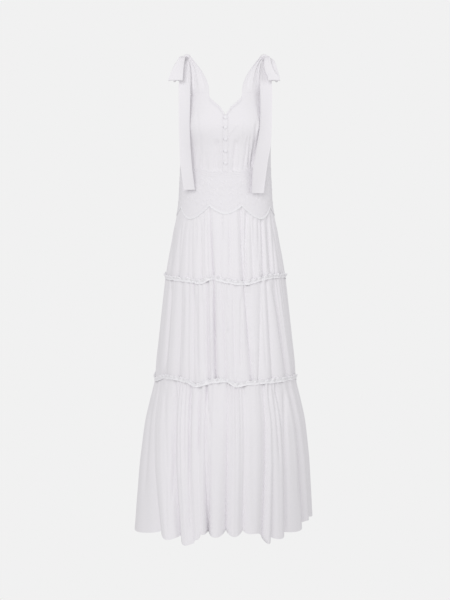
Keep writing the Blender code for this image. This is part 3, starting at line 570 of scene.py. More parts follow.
class Tier:
    """One gathered tier of the skirt, with its folds in front and behind."""

    def __init__(self, top, bottom, folds):
        self.top, self.bottom = top, bottom
        self.folds = {FRONT: list(folds), BACK: hidden_folds(folds)}

    def valleys(self, facing, share):
        """Angle and depth of every valley at each share of the way down, one row a share."""
        folds = self.folds[facing]
        width_top, width_low = half_width_at(self.top), half_width_at(self.bottom)
        start = np.arcsin(np.clip([f.top * MM / width_top for f in folds], -0.999, 0.999))
        end = np.arcsin(np.clip([f.bottom * MM / width_low for f in folds], -0.999, 0.999))
        depths = np.array([(f.depth_top, f.depth_middle, f.depth_bottom) for f in folds]) * MM
        share = np.asarray(share, float).reshape(-1, 1)
        half = np.where(share < 0.5, share * 2, share * 2 - 1)
        first = np.where(share < 0.5, depths[:, 0], depths[:, 1])
        last = np.where(share < 0.5, depths[:, 1], depths[:, 2])
        return mix(start, end, share), mix(first, last, half)

    def at(self, facing, fold, part, share):
        """Angle and lift across the folds, part of the way from one valley to the next."""
        turns, depths = self.valleys(facing, share)
        side = side_turn(facing, mix(self.top, self.bottom, np.asarray(share))).reshape(-1, 1)
        turns = np.hstack((-2 * side - turns[:, :1], turns, 2 * side - turns[:, -1:]))
        depths = np.hstack((depths[:, :1], depths, depths[:, -1:]))
        turn = mix(turns[:, fold], turns[:, fold + 1], part)
        depth = mix(depths[:, fold], depths[:, fold + 1], part)
        ridge = np.sqrt(np.sin(math.pi * part) ** 2 + VALLEY_SOFTNESS ** 2)
        return turn, -depth * (1 - np.minimum(ridge, 1.0) ** FOLD_ROUNDNESS)

    def columns(self, facing):
        """Fold number and part of every column, from one side seam to the other."""
        turns = past_the_sides(self.valleys(facing, [1.0])[0][0])
        folds, parts = [], []
        for k, width in enumerate(np.diff(turns) * half_width_at(self.bottom)):
            count = 2 * max(4, round(width / COLUMN_STEP / 2))
            t = np.arange(count) / count
            part = t - VALLEY_CROWDING * np.sin(2 * math.pi * t)
            if k == 0:
                part = part[count // 2:]
            if k == len(turns) - 2:
                part = part[:count // 2 + 1]
            folds.append(np.full(len(part), k))
            parts.append(part)
        return np.concatenate(folds), np.concatenate(parts)

    def lift_at(self, facing, turn, share):
        """How far the wall lies in from the plain figure at an angle."""
        turns, depths = (v[0] for v in self.valleys(facing, [share]))
        turns = past_the_sides(turns)
        depths = np.concatenate((depths[:1], depths, depths[-1:]))
        k = np.clip(np.searchsorted(turns, turn) - 1, 0, len(turns) - 2)
        part = (turn - turns[k]) / (turns[k + 1] - turns[k])
        depth = mix(depths[k], depths[k + 1], part)
        return -depth * (1 - np.sin(math.pi * np.clip(part, 0.0, 1.0)) ** FOLD_ROUNDNESS)


UPPER_TIER = Tier(-0.455, UPPER_SEAM, UPPER_FOLDS)
MIDDLE_TIER = Tier(UPPER_SEAM, LOWER_SEAM, MIDDLE_FOLDS)
LOWER_TIER = Tier(LOWER_SEAM, HEM, LOWER_FOLDS)
for title, tier in (("upper", UPPER_TIER), ("middle", MIDDLE_TIER), ("lower", LOWER_TIER)):
    print(title, "tier:", len(tier.columns(FRONT)[0]), "columns across the front")

# %% The lace band's edges
Edge = namedtuple("Edge", "turn height")
BAND_TOP_BACK = -0.326
BAND_EDGE = table(
    Edge,
    (0.0, -0.4585),
    (19.5, -0.4360),
    (45.0, -0.4740),
    (68.0, -0.4400),
    (90.0, -0.4640),
)
BAND_TOP_FRONT = table(
    Edge,
    (0.0, -0.3395),
    (18.0, -0.3370),
    (37.0, -0.3280),
    (60.0, -0.3262),
    (90.0, BAND_TOP_BACK),
)
band_top_at = smooth_curve(BAND_TOP_FRONT)


def band_edge_at(turn):
    """Height of the band's lower edge: round dips between sharp peaks."""
    degrees = np.clip(np.abs(np.degrees(turn)), 0.0, 90.0)
    height = np.full(np.shape(degrees), BAND_EDGE[0].height)
    for peak, dip in ((1, 0), (1, 2), (3, 2), (3, 4)):
        low, high = sorted((BAND_EDGE[peak].turn, BAND_EDGE[dip].turn))
        rise = BAND_EDGE[dip].height - BAND_EDGE[peak].height
        share = np.clip(np.abs(degrees - BAND_EDGE[peak].turn) / (high - low), 0.0, 1.0)
        value = BAND_EDGE[peak].height + rise * np.sin(share * math.pi / 2)
        height = np.where((degrees >= low) & (degrees <= high), value, height)
    return height


def band_top(facing, turn):
    front = band_top_at(np.abs(np.degrees(turn)))
    return front if facing == FRONT else np.full(np.shape(turn), BAND_TOP_BACK)


print("band is", round((BAND_TOP_BACK - BAND_EDGE[0].height) * 1000), "mm deep behind the centre")

# %% Creases of the skirt
UPPER_CREASES = table(
    Crease,
    (206.0, 222, 208.0, 284, 0.0, 2.5, 0.9),
    (216.8, 208, 217.2, 262, 0.0, -0.8, 1.0),
    (222.3, 211, 222.0, 244, 0.0, 2.6, 0.9),
    (229.5, 216, 229.8, 270, 0.0, 1.8, 1.0),
    (234.0, 222, 233.6, 284, 0.0, 1.4, 1.4),
    (240.2, 196, 242.8, 255, 0.3, 5.0, 1.2),
    (247.4, 190, 245.0, 290, 0.0, 7.5, 1.3),
    (253.5, 210, 253.7, 248, 0.0, 2.2, 0.7),
    (258.4, 208, 258.6, 266, 0.0, 3.2, 1.0),
    (261.0, 208, 264.2, 290, 0.4, 5.0, 1.2),
    (267.0, 205, 270.0, 276, 0.0, 4.0, 1.6),
    (271.0, 205, 277.2, 292, 0.0, 4.0, 1.0),
    (196.2, 212, 195.5, 252, 0.0, 2.5, 0.8),
    (200.8, 218, 201.5, 290, 0.0, 2.5, 1.0),
    (188.6, 224, 187.0, 284, 0.0, 1.6, 1.1),
    (173.5, 224, 169.5, 272, 0.0, 3.0, 1.8),
    (181.0, 220, 176.5, 290, 0.0, 2.2, 1.3),
)
MIDDLE_CREASES = table(
    Crease,
    (158.8, 325, 157.0, 376, 0.0, 2.5, 1.3),
    (171.5, 280, 164.8, 372, 0.3, 4.5, 1.0),
    (184.0, 290, 181.0, 366, 0.0, 2.2, 1.2),
    (195.3, 292, 197.0, 370, 0.0, 3.5, 1.5),
    (203.0, 296, 204.0, 376, 0.0, 3.5, 1.3),
    (211.6, 278, 211.2, 324, 0.0, 3.0, 0.7),
    (213.6, 286, 214.2, 380, 0.0, 5.0, 1.3),
    (219.4, 282, 219.0, 352, 0.0, 2.4, 0.8),
    (190.0, 336, 190.5, 384, 0.0, -1.4, 0.9),
    (227.6, 278, 227.7, 340, 0.0, 3.8, 1.0),
    (233.5, 296, 234.5, 382, 0.0, 2.0, 1.2),
    (241.6, 292, 241.0, 374, 0.0, 4.5, 1.3),
    (249.2, 284, 254.0, 352, 0.4, 4.0, 1.1),
    (262.0, 286, 266.5, 372, 0.0, 2.2, 1.1),
    (271.3, 276, 288.0, 384, 0.6, 5.0, 1.3),
    (247.5, 280, 249.5, 312, 0.0, 2.0, 0.8),
)
LOWER_CREASES = table(
    Crease,
    (151.0, 392, 143.0, 500, 0.0, 2.0, 1.8),
    (163.8, 380, 167.0, 478, 0.0, 2.0, 1.3),
    (166.0, 474, 166.5, 536, 0.0, 1.5, 0.9),
    (170.5, 384, 171.0, 420, 0.0, 1.2, 0.8),
    (175.5, 384, 170.5, 512, 1.5, 5.0, 1.4),
    (183.5, 380, 184.0, 476, 0.0, 2.0, 1.1),
    (190.8, 376, 188.6, 545, -0.8, 5.0, 1.2),
    (198.3, 376, 198.0, 458, 0.8, 4.0, 1.0),
    (204.7, 374, 211.0, 434, 0.0, 4.5, 1.1),
    (208.6, 446, 208.4, 556, 0.0, 7.0, 1.4),
    (214.5, 462, 215.0, 545, 0.0, 2.0, 1.8),
    (220.5, 384, 221.5, 440, 0.0, 1.2, 1.2),
    (236.0, 380, 236.8, 446, 0.0, 2.0, 1.1),
    (246.0, 388, 247.0, 478, 0.0, 1.2, 1.8),
    (253.0, 430, 254.0, 540, 0.0, 1.4, 2.2),
    (268.5, 380, 270.0, 478, 0.0, 2.0, 1.3),
    (274.3, 380, 281.0, 464, 0.0, 4.0, 1.3),
    (285.3, 380, 286.5, 550, 0.0, 7.0, 1.8),
    (297.5, 430, 300.0, 510, 0.0, 3.0, 1.1),
)
print("creases in front:", len(UPPER_CREASES) + len(MIDDLE_CREASES) + len(LOWER_CREASES))

# %% The six tier pieces
HEM_FOLD = 0.014
HEM_STEP = 0.0005
SIDE_FADE = 0.022  # small folds die away before a side seam, so that its two edges still meet
TUCK = 0.0020  # how far the skirt's top edge runs up behind the lace band
TUCKED_UNDER = -0.0002
TUCK_FADE = 0.016
FINE_GATHER, WIDE_GATHER = 0.0088, 0.0213
LOWER_GATHER = 0.0015


def hem_at(facing, fold, part):
    """Height of the hem across the folds of the lowest tier."""
    folds = LOWER_TIER.folds[facing]
    valley = np.array([folds[0].hem_valley] + [f.hem_valley for f in folds] + [folds[-1].hem_valley])
    ridge = np.array([f.hem_ridge for f in folds] + [HEM_AT_LEFT_SIDE])
    return mix(mix(valley[fold], valley[fold + 1], part), ridge[fold],
               np.sin(math.pi * part) ** FOLD_ROUNDNESS) * MM


def tier_points(tier, facing, share, creases, gather):
    """Outer and inner points of half a tier, its columns running down the folds."""
    fold, part = tier.columns(facing)
    turn, lift = tier.at(facing, fold, part, share)
    share = share.reshape(-1, 1)
    if tier is UPPER_TIER:
        top = band_edge_at(turn[0]) + TUCK
    else:
        top = tier.top + seam_rise(tier.top, facing, turn[0]) - GAP / 2
    if tier is LOWER_TIER:
        bottom = hem_at(facing, fold, part)
    else:
        bottom = tier.bottom + seam_rise(tier.bottom, facing, turn[-1]) + GAP / 2
    height = mix(top, bottom, share)
    plain = on_dress(facing, turn, height, lift)
    arc = lengths_along(plain[:1], 1)[0]
    below = top - height
    inside = ramp(np.minimum(arc, arc[-1] - arc) / SIDE_FADE)
    lift = lift + inside * pressed(plain, facing, creases)
    lift = lift + inside * gathers(arc, below, gather, FINE_GATHER, 0.045, narrow=1.6)
    lift = lift + inside * gathers(arc, below, gather * 2.8, WIDE_GATHER, 0.350, start=1.3, narrow=2.4)
    if tier is UPPER_TIER:
        lift = mix(TUCKED_UNDER, lift, ramp(below / TUCK_FADE))
    if tier is LOWER_TIER:
        lift = lift + HEM_STEP * ramp((HEM_FOLD - (height - bottom)) / 0.0015)
    return layer(facing, turn, height, lift, VOILE_THICKNESS)


def tier_rows(count, crowd=1.35):
    return np.linspace(0.0, 1.0, count) ** crowd


TIERS = (
    ("upper", UPPER_TIER, UPPER_CREASES, tier_rows(34), 0.0007, (0.62, 0.215)),
    ("middle", MIDDLE_TIER, MIDDLE_CREASES, tier_rows(44), 0.0012, (0.78, 0.303)),
    ("lower", LOWER_TIER, LOWER_CREASES, tier_rows(58), LOWER_GATHER, (1.00, 0.440)),
)
for title, tier, creases, share, gather, flat in TIERS:
    for side, facing in FACINGS:
        outer, inner = tier_points(tier, facing, share, creases, gather)
        item = sheet_mesh(f"{title}_tier_{side}", outer, inner)
        sew_on(item, voile, [f"tier_{title}_{side}"])

# %% [markdown]
# ## Frilled headings
# Where a gathered tier is sewn to the one above, its raw edge is turned and left standing as a small
# frill. It is pinched flat at the seam, leans out above it and is never even: a coarse wave carries a
# finer one. Both close on themselves round the skirt, so each uses a whole number of waves.

# %% Frilled headings
TRIM_WALL = 0.0010
RUFFLE_BELOW, RUFFLE_ABOVE = 0.0040, 0.0100
RUFFLE_CLEARANCE = 0.0003
FRILL_THICKNESS = 0.0005
FRILL_COLUMNS = 16  # in each wave
FRILL_PINCH = 0.0007

Frill = namedtuple("Frill", "seam above below waves fine_waves reach")
UPPER_FRILL = Frill(UPPER_SEAM, UPPER_TIER, MIDDLE_TIER, 58, 97, 0.0055)
LOWER_FRILL = Frill(LOWER_SEAM, MIDDLE_TIER, LOWER_TIER, 66, 113, 0.0035)


def frill_points(frill, rows=11):
    """A frill all the way round: pinched flat at its seam, and wavy above and below it."""
    count = frill.waves * FRILL_COLUMNS
    place = np.arange(count) / count
    around = 2 * math.pi * place - math.pi / 2
    facing = np.where(place < 0.5, FRONT, BACK)
    turn = np.where(place < 0.5, around, math.pi - around)
    clear = np.zeros(count)
    for side in (FRONT, BACK):
        here = facing == side
        above = frill.above.lift_at(side, turn[here], 1.0)
        below = frill.below.lift_at(side, turn[here], 0.0)
        clear[here] = np.maximum(above, below) + RUFFLE_CLEARANCE + FRILL_THICKNESS
    angle = 2 * math.pi * place
    coarse = 0.5 + 0.5 * np.sin(frill.waves * angle + 0.9 * np.sin(7 * angle))
    fine = np.sin(frill.fine_waves * angle + 1.2 * np.sin(11 * angle) + 1.0)
    uneven = 0.5 + 0.5 * np.sin(13 * angle + 2.0 * np.sin(5 * angle)) * np.sin(31 * angle + 0.7)
    rise = np.linspace(0.0, 1.0, rows).reshape(-1, 1) ** 0.8
    seam_share = RUFFLE_BELOW / (RUFFLE_ABOVE + RUFFLE_BELOW)
    up = ramp((rise - seam_share) / (1 - seam_share))
    down = ramp((seam_share - rise) / seam_share)
    lift = clear + 0.0004 + up * (0.0010 + frill.reach * coarse * (0.6 + 0.5 * uneven) + 0.0013 * fine)
    lift = lift + down * (0.0002 + 0.0007 * coarse + 0.0003 * fine)
    tall = RUFFLE_ABOVE * (0.84 + 0.24 * uneven + 0.14 * fine - 0.10 * coarse)
    short = RUFFLE_BELOW * (0.8 + 0.5 * uneven)
    waves = [seam_rise(frill.seam, side, turn[facing == side]) for side in (FRONT, BACK)]
    seam = frill.seam + np.concatenate(waves)
    height = seam + np.where(rise > seam_share, (rise - seam_share) / (1 - seam_share) * tall,
                             (rise - seam_share) / seam_share * short)
    pinch = np.sin((4 * frill.waves + 9) * angle + 1.5 * np.sin(17 * angle)) ** 2
    lift = lift - FRILL_PINCH * pinch * (1 - 0.6 * up)
    lean = 0.006 * np.sin(23 * angle) * up
    return layer(facing, turn + lean, height, lift, FRILL_THICKNESS)


# The frill is the dress's own voile, painted lighter than it to stand for the light that its standing edges
# catch: a painted highlight.
frill_painted_highlight_voile = woven("frill", (0.95, 0.94, 0.96), (0.92, 0.91, 0.935), 0.85, 0.2, 0.35)
for title, frill, flat in (("upper", UPPER_FRILL, (1.30, 0.015)), ("lower", LOWER_FRILL, (1.40, 0.015))):
    outer, inner = frill_points(frill)
    item = sheet_mesh(f"{title}_heading_frill", outer, inner, around=True)
    sew_on(item, frill_painted_highlight_voile, [f"ruffle_{title}"])

# %% [markdown]
# ## Lace waistband
# The band is cut from wide cotton lace and follows the waist without gathers. Its pattern is a plain
# repeat of flowers, leaves and stems between corded lines. Each motif is a short formula for a height
# between 0 and 1. The same number raises the mesh and is written to the motif attribute.

# %% Lace patterns
LACE_RELIEF = 0.0007
LACE_THICKNESS = 0.0009
REPEAT = 0.058

Motif = namedtuple("Motif", "kind along down size turn")
MOTIFS = table(
    Motif,
    ("flower", 0.00, 0.034, 0.0098, 0.3),
    ("flower", 0.50, 0.060, 0.0112, 0.0),
    ("flower", 0.02, 0.092, 0.0085, 0.9),
    ("bud", 0.27, 0.026, 0.0040, 0.0),
    ("bud", 0.76, 0.029, 0.0040, 0.0),
    ("bud", 0.24, 0.082, 0.0040, 0.0),
    ("bud", 0.77, 0.089, 0.0042, 0.0),
    ("leaf", 0.24, 0.041, 0.0150, 0.7),
    ("leaf", 0.76, 0.043, 0.0150, -0.7),
    ("leaf", 0.22, 0.064, 0.0135, -0.5),
    ("leaf", 0.79, 0.066, 0.0135, 0.6),
    ("leaf", 0.36, 0.101, 0.0130, 0.4),
    ("leaf", 0.66, 0.103, 0.0130, -0.4),
)


def motif_height(motif, across, down):
    """Height from 0 to 1 of one motif, at distances from its middle."""
    if motif.kind == "leaf":
        along = across * math.cos(motif.turn) + down * math.sin(motif.turn)
        aside = -across * math.sin(motif.turn) + down * math.cos(motif.turn)
        width = 0.27 * motif.size * (1 - (2 * along / motif.size) ** 2)
        return ramp((width - np.abs(aside)) / 0.0010) * (0.45 + 0.55 * ramp(np.abs(aside) / 0.0008))
    away = np.hypot(across, down)
    if motif.kind == "bud":
        return ramp((motif.size - away) / 0.0010)
    angle = np.arctan2(down, across) + motif.turn
    petal = motif.size * (0.60 + 0.40 * np.abs(np.cos(2.5 * angle)))
    body = ramp((petal - away) / 0.0012) * (0.55 + 0.45 * ramp((away - 0.45 * motif.size) / 0.0020))
    return np.maximum(body, ramp((0.22 * motif.size - away) / 0.0008))


def band_lace(along, down, above_edge):
    """Height of the waistband's lace, by distance along it, from its top and above its lower edge."""
    share = np.mod(along / REPEAT, 1.0)
    height = np.zeros(np.broadcast(along, down).shape)
    for motif in MOTIFS:
        across = (np.mod(share - motif.along + 0.5, 1.0) - 0.5) * REPEAT
        height = np.maximum(height, motif_height(motif, across, down - motif.down))
    stem = np.abs(down - 0.047 - 0.012 * np.sin(2 * math.pi * share + 1.2))
    height = np.maximum(height, 0.7 * ramp((0.0011 - stem) / 0.0007))
    stem = np.abs(down - 0.076 - 0.009 * np.sin(2 * math.pi * share - 0.6))
    height = np.maximum(height, 0.6 * ramp((0.0010 - stem) / 0.0007))
    height = height * ramp((down - 0.0165) / 0.002) * ramp((above_edge - 0.0120) / 0.002)
    for line in (0.0030, 0.0085, 0.0145):
        height = np.maximum(height, ramp((0.0012 - np.abs(down - line)) / 0.0008))
    border = np.abs(above_edge - 0.0085 - 0.0022 * np.abs(np.sin(math.pi * along / 0.0068)))
    return np.maximum(height, 0.9 * ramp((0.0011 - border) / 0.0008))


print("motifs in a repeat:", len(MOTIFS))

# %% Waistband
BAND_COLUMNS, BAND_ROWS = 330, 84
BAND_LAP = 0.0015  # the band is stitched down over the bodice's lower edge
BAND_LIFT = 0.0006


def waistband_points(facing):
    """The lace band from its stitched upper edge to its scallops, and its relief."""
    limit = side_turn(facing, -0.40)
    turn = np.linspace(-limit, limit, BAND_COLUMNS)
    share = np.linspace(0.0, 1.0, BAND_ROWS).reshape(-1, 1)
    top, low = band_top(facing, turn) + BAND_LAP, band_edge_at(turn) + GAP / 2
    height = mix(top, low, share)
    plain = on_dress(facing, turn, height)
    along = lengths_along(plain, 1)
    along = along - along[:, BAND_COLUMNS // 2:BAND_COLUMNS // 2 + 1]
    relief = band_lace(along, top - height, height - low) * ramp((limit - np.abs(turn)) / 0.02)
    soft = 0.0006 * np.sin(along / 0.031 + 3 * share) * np.sin(math.pi * share)
    lift = relief * LACE_RELIEF + soft + BAND_LIFT
    return *layer(facing, turn, height, lift, LACE_THICKNESS), relief


for side, facing in FACINGS:
    outer, inner, relief = waistband_points(facing)
    item = sheet_mesh(f"lace_waistband_{side}", outer, inner, relief=relief)
    sew_on(item, lace, [f"waistband_{side}"])

# %% [markdown]
# ## Braid on the band's edge
# A narrow looped braid covers the seam where the band's scallops meet the skirt. It is a strip with a
# rounded back and a small picot at each loop, laid along the same edge curve as the band itself.

# %% Braid on the band's edge
BRAID_HALF = 0.0026
PICOT = 0.0046
BRAID_LIFT = 0.0009
BRAID_THICKNESS = 0.0006
BRAID_CROWN = 0.0009


def braid_points(facing, columns=520, rows=7):
    """A looped braid along the band's lower edge, rounded on its outer side."""
    limit = side_turn(facing, -0.45)
    turn = np.linspace(-limit, limit, columns)
    edge = band_edge_at(turn)
    arc = lengths_along(on_dress(facing, turn, edge)[None], 1)[0]
    across = np.linspace(1.0, -1.0, rows).reshape(-1, 1)
    loop = np.abs(np.sin(math.pi * arc / PICOT))
    reach = BRAID_HALF * np.where(across < 0, 0.75 + 0.55 * loop, 0.95)
    rope = 0.75 + 0.25 * np.cos(2 * math.pi * arc / PICOT + 2.2 * across)
    lift = BRAID_CROWN * (1 - across ** 2) * rope
    return layer(facing, turn, edge + across * reach, BRAID_LIFT + lift, lift + BRAID_THICKNESS)


for side, facing in FACINGS:
    outer, inner = braid_points(facing)
    item = sheet_mesh(f"braid_{side}", outer, inner)
    sew_on(item, thread, [f"band_edge_{side}"])

# %% [markdown]
# ## Bodice
# Two front panels meet at the placket and are gathered under the bust, more on the wearer's left. The
# back is one plain panel. Their top edges are given by the angle from the centre line, with a small
# step where each strap begins.

# %% Bodice
BODICE_THICKNESS = 0.0006
FRONT_EDGE = table(
    Edge,
    (0.0, -0.1725),
    (3.3, -0.1650),
    (7.2, -0.1520),
    (16.5, -0.1345),
    (22.6, -0.1215),
    (24.0, -0.1065),
    (40.0, -0.1030),
    (58.0, -0.1090),
    (62.5, -0.1270),
    (69.0, -0.1540),
    (78.0, -0.1790),
    (90.0, -0.1880),
)
BACK_EDGE = table(
    Edge,
    (0.0, -0.1960),
    (20.0, -0.1930),
    (33.0, -0.1870),
    (50.0, -0.1840),
    (62.0, -0.1850),
    (90.0, -0.1880),
)
front_edge_at = smooth_curve(FRONT_EDGE)
back_edge_at = smooth_curve(BACK_EDGE)
FRONT_STRAP = (24.0, 58.0)
BACK_STRAP = (33.0, 50.0)
CENTRE_GAP = 0.08
BODICE_CREASES = table(
    Crease,
    (243.2, 122, 244.0, 142, 0.0, 1.5, 0.7),
    (247.8, 134, 243.8, 168, 0.3, 2.6, 0.9),
    (251.0, 134, 248.0, 168, 0.3, 2.6, 0.8),
    (256.6, 120, 250.8, 170, 0.8, 3.4, 1.3),
    (260.4, 126, 253.6, 160, 0.6, 2.0, 0.9),
    (253.0, 150, 250.8, 174, 0.0, 2.5, 0.8),
    (257.0, 150, 256.0, 172, 0.0, 1.6, 1.0),
    (240.2, 134, 238.8, 172, 0.0, 1.8, 1.4),
    (236.4, 138, 233.0, 178, 0.0, 4.6, 2.2),
    (238.5, 123.5, 227.0, 136.5, 0.0, -1.6, 0.9),
    (213.8, 158, 213.4, 178, 0.0, 1.5, 0.7),
    (220.9, 150, 220.8, 172, 0.0, 1.6, 0.8),
    (217.0, 138, 217.0, 178, 0.0, 4.6, 2.6),
    (209.0, 154, 209.4, 176, 0.0, -0.9, 0.8),
    (205.0, 150, 204.6, 176, 0.0, 1.2, 1.4),
    (199.5, 130, 200.5, 176, 0.0, 1.2, 1.8),
    (197.0, 106, 197.8, 134, 0.0, 1.0, 1.2),
)


def spread(*stops):
    """Even steps between each pair of stops: value, count, value, count, value."""
    parts = zip(stops[:-2:2], stops[2::2], stops[1::2])
    return np.concatenate([np.linspace(*part, endpoint=False) for part in parts] + [stops[-1:]])


def bodice_points(facing, turn, edge_at, gather, rows=56):
    """A panel from its top edge to the band, gathered under the bust."""
    share = np.linspace(0.0, 1.0, rows).reshape(-1, 1)
    top = edge_at(np.abs(np.degrees(turn)))
    low = band_top(facing, turn) + GAP / 2
    height = mix(top, low, share)
    plain = on_dress(facing, turn, height)
    arc = lengths_along(plain[-1:], 1)[0]
    aside = np.abs(np.degrees(turn))
    under_bust = ramp((aside - 8) / 8) * ramp((64 - aside) / 8)
    lift = gathers(arc, height - low, gather, FINE_GATHER, 0.030) * under_bust
    lift = lift + gathers(arc, height - low, gather * 1.2, 0.0192, 0.055, start=0.7) * under_bust
    lift = lift + pressed(plain, facing, BODICE_CREASES)
    lift = lift * ramp((top - height) / 0.012) * mix(0.45, 1.0, ramp((height - low) / 0.010))
    return layer(facing, turn, height, lift, BODICE_THICKNESS)


limit = side_turn(FRONT, -0.2)
half = np.minimum(np.radians(spread(CENTRE_GAP, 26, FRONT_STRAP[0], 34, FRONT_STRAP[1], 30, 90.0)), limit)
for side, sign in SIDES:
    outer, inner = bodice_points(FRONT, sign * half, front_edge_at, 0.0014)
    item = sheet_mesh(f"front_panel_{side}", outer, inner)
    sew_on(item, voile, [f"bodice_front_{side}"])
limit = side_turn(BACK, -0.2)
half = np.minimum(np.radians(spread(0.0, 30, BACK_STRAP[0], 20, BACK_STRAP[1], 34, 90.0)), limit)
outer, inner = bodice_points(BACK, np.concatenate((-half[:0:-1], half)), back_edge_at, 0.0010, rows=40)
item = sheet_mesh("back_panel", outer, inner)
sew_on(item, voile, ["bodice_back"])

# %% [markdown]
# ## Neck lace and placket
# A narrow scalloped lace runs down each side of the V, and a strip of voile with two rows of stitches
# carries the buttons. Both lie on the panels, so both use the same surface, a little further out.

# %% Neck lace and placket
NECK_LACE_ABOVE, NECK_LACE_BELOW = 0.0052, 0.0050
SCALLOP = 0.0092
NECK_LACE_LIFT, NECK_LACE_WALL = 2 * GAP, 0.0006
PLACKET_TOP, PLACKET_HALF = -0.1762, 0.0070
PLACKET_LIFT = 0.0005
PLACKET_SEAM = 0.72  # its two rows of stitches, as a share of half its width
PLACKET_ROWS = 90


def neck_lace_points(side, columns=150, rows=10):
    """A lace down one side of the V, with an eyelet in each scallop, and its relief."""
    degrees = np.linspace(1.0, 22.3, columns)
    turn = side * np.radians(degrees)
    edge = front_edge_at(degrees)
    arc = lengths_along(on_dress(FRONT, turn, edge)[None], 1)[0]
    scallop = np.abs(np.sin(math.pi * arc / SCALLOP))
    across = np.linspace(1.0, 0.0, rows).reshape(-1, 1)
    above = NECK_LACE_ABOVE * (0.25 + 0.75 * scallop)
    height = mix(edge - NECK_LACE_BELOW, edge + above, across)
    down = (1 - across) * (NECK_LACE_BELOW + above)
    relief = ramp((0.0012 - np.abs(down - 0.0010)) / 0.0008)
    relief = np.maximum(relief, 0.8 * ramp((0.0009 - np.abs(down - 0.0050)) / 0.0006))
    eyelet = np.hypot(np.mod(arc, SCALLOP) - SCALLOP / 2, down - 0.0030)
    relief = np.maximum(relief, 0.7 * ramp((0.0013 - np.abs(eyelet - 0.0012)) / 0.0008))
    wall = NECK_LACE_WALL + 0.0005 * relief
    return *layer(FRONT, turn, height, NECK_LACE_LIFT + wall, wall), relief


for side, sign in SIDES:
    outer, inner, relief = neck_lace_points(sign)
    item = sheet_mesh(f"neck_lace_{side}", outer, inner, relief=relief)
    sew_on(item, lace, [f"neck_trim_{side}"])

placket_low = BAND_TOP_FRONT[0].height + BAND_LAP + GAP
height = np.linspace(PLACKET_TOP, placket_low, PLACKET_ROWS).reshape(-1, 1)
across = np.linspace(-1.0, 1.0, 15)
seams = np.exp(-((np.abs(across) - PLACKET_SEAM) / 0.09) ** 2)
pucker = 0.00018 * np.sin(2 * math.pi * height / 0.0047 + 2.0 * across)
wall = TRIM_WALL + pucker - 0.00035 * seams + 0.0003 * (1 - across ** 2)
turn = across * PLACKET_HALF / half_width_at(height)
placket = sheet_mesh("button_placket", *layer(FRONT, turn, height, PLACKET_LIFT + wall, wall))
sew_on(placket, voile, ["placket"])

# %% [markdown]
# ## Covered buttons and their loops
# Each button is a small dome covered in the dress's cloth, held by a thin loop of rolled voile. The
# dome starts as a sphere whose back is flattened in edit mode. One is modelled and copied down the
# placket, each copy with its own mesh, set square to the cloth under it.

# %% One button and one loop
BUTTON_HEIGHTS = (-0.1815, -0.2095, -0.2435, -0.2780, -0.3125)
BUTTON_RADIUS, BUTTON_DEPTH = 0.0046, 0.0031
BUTTON_BACK = -0.45 * BUTTON_DEPTH
LOOP_YARN = 0.00065
LOOP_PLACE = -0.0030


def resize(item, value, test=None, centre=(0, 0, 0)):
    """Resizes a mesh, or only the vertices that a test of their place picks, in edit mode."""
    bpy.ops.object.mode_set(mode="OBJECT")
    for v in item.data.vertices:
        v.select = test is None or bool(test(v.co))
    bpy.ops.object.mode_set(mode="EDIT")
    bpy.ops.transform.resize(value=value, center_override=centre)


def blank(operator, size, squeeze=None, test=None, centre=(0, 0, 0), **values):
    """A smooth primitive in a given size, with the part that a test picks squeezed."""
    bpy.ops.object.select_all(action="DESELECT")
    operator(**values)
    item = bpy.context.object
    bpy.ops.object.mode_set(mode="EDIT")
    bpy.ops.mesh.select_mode(type="VERT")
    resize(item, size)
    if squeeze:
        resize(item, squeeze, test, centre)
    bpy.ops.object.mode_set(mode="OBJECT")
    bpy.ops.object.shade_smooth()
    return item


blank_button = blank(
    bpy.ops.mesh.primitive_uv_sphere_add, (1, 1, BUTTON_DEPTH / BUTTON_RADIUS),
    (1, 1, 0.25), lambda co: co.z < BUTTON_BACK, (0, 0, BUTTON_BACK),
    segments=28, ring_count=14, radius=BUTTON_RADIUS)
blank_loop = blank(
    bpy.ops.mesh.primitive_torus_add, (1.25, 0.8, 1), (1, 0.45, 1), lambda co: co.x < -0.0015,
    major_radius=0.0036, minor_radius=LOOP_YARN, major_segments=36, minor_segments=8)
print("button blank:", len(blank_button.data.polygons), "faces; loop:", len(blank_loop.data.polygons))

# %% Buttons down the placket
def covered(name):
    """Cloth for small round pieces, whose UV map is the one that a primitive comes with."""
    return woven(name, (0.93, 0.92, 0.94), (0.88, 0.87, 0.90), 0.55, 0.1, 0.3, yarn=0.0005, uv="UVMap")


def set_on_placket(blank, name, height, shift, raised):
    """A copy of a blank, facing out of the placket at a height, with its place in its mesh."""
    face = on_dress(FRONT, 0.0, height, PLACKET_LIFT + TRIM_WALL)
    above, below = (on_dress(FRONT, 0.0, height + step) for step in (0.006, -0.006))
    up = Vector(above - below).normalized()
    out = Vector((1, 0, 0)).cross(up)
    item = bpy.data.objects.new(name, blank.data.copy())
    bpy.context.scene.collection.objects.link(item)
    for v in item.data.vertices:
        v.co = Vector(face) + Vector((v.co.x + shift, 0, 0)) + up * v.co.y + out * (v.co.z + raised)
    return item


button_cloth, button_thread = covered("covered_button"), covered("rolled_loop")
for i, height in enumerate(BUTTON_HEIGHTS):
    item = set_on_placket(blank_button, f"covered_button_{i + 1}", height, 0.0, BUTTON_DEPTH + GAP)
    sew_on(item, button_cloth, [f"button_{i + 1}"])
    loop = set_on_placket(blank_loop, f"button_loop_{i + 1}", height, LOOP_PLACE, LOOP_YARN + GAP)
    sew_on(loop, button_thread, [])
for used in (blank_button, blank_loop):
    bpy.data.objects.remove(used, do_unlink=True)

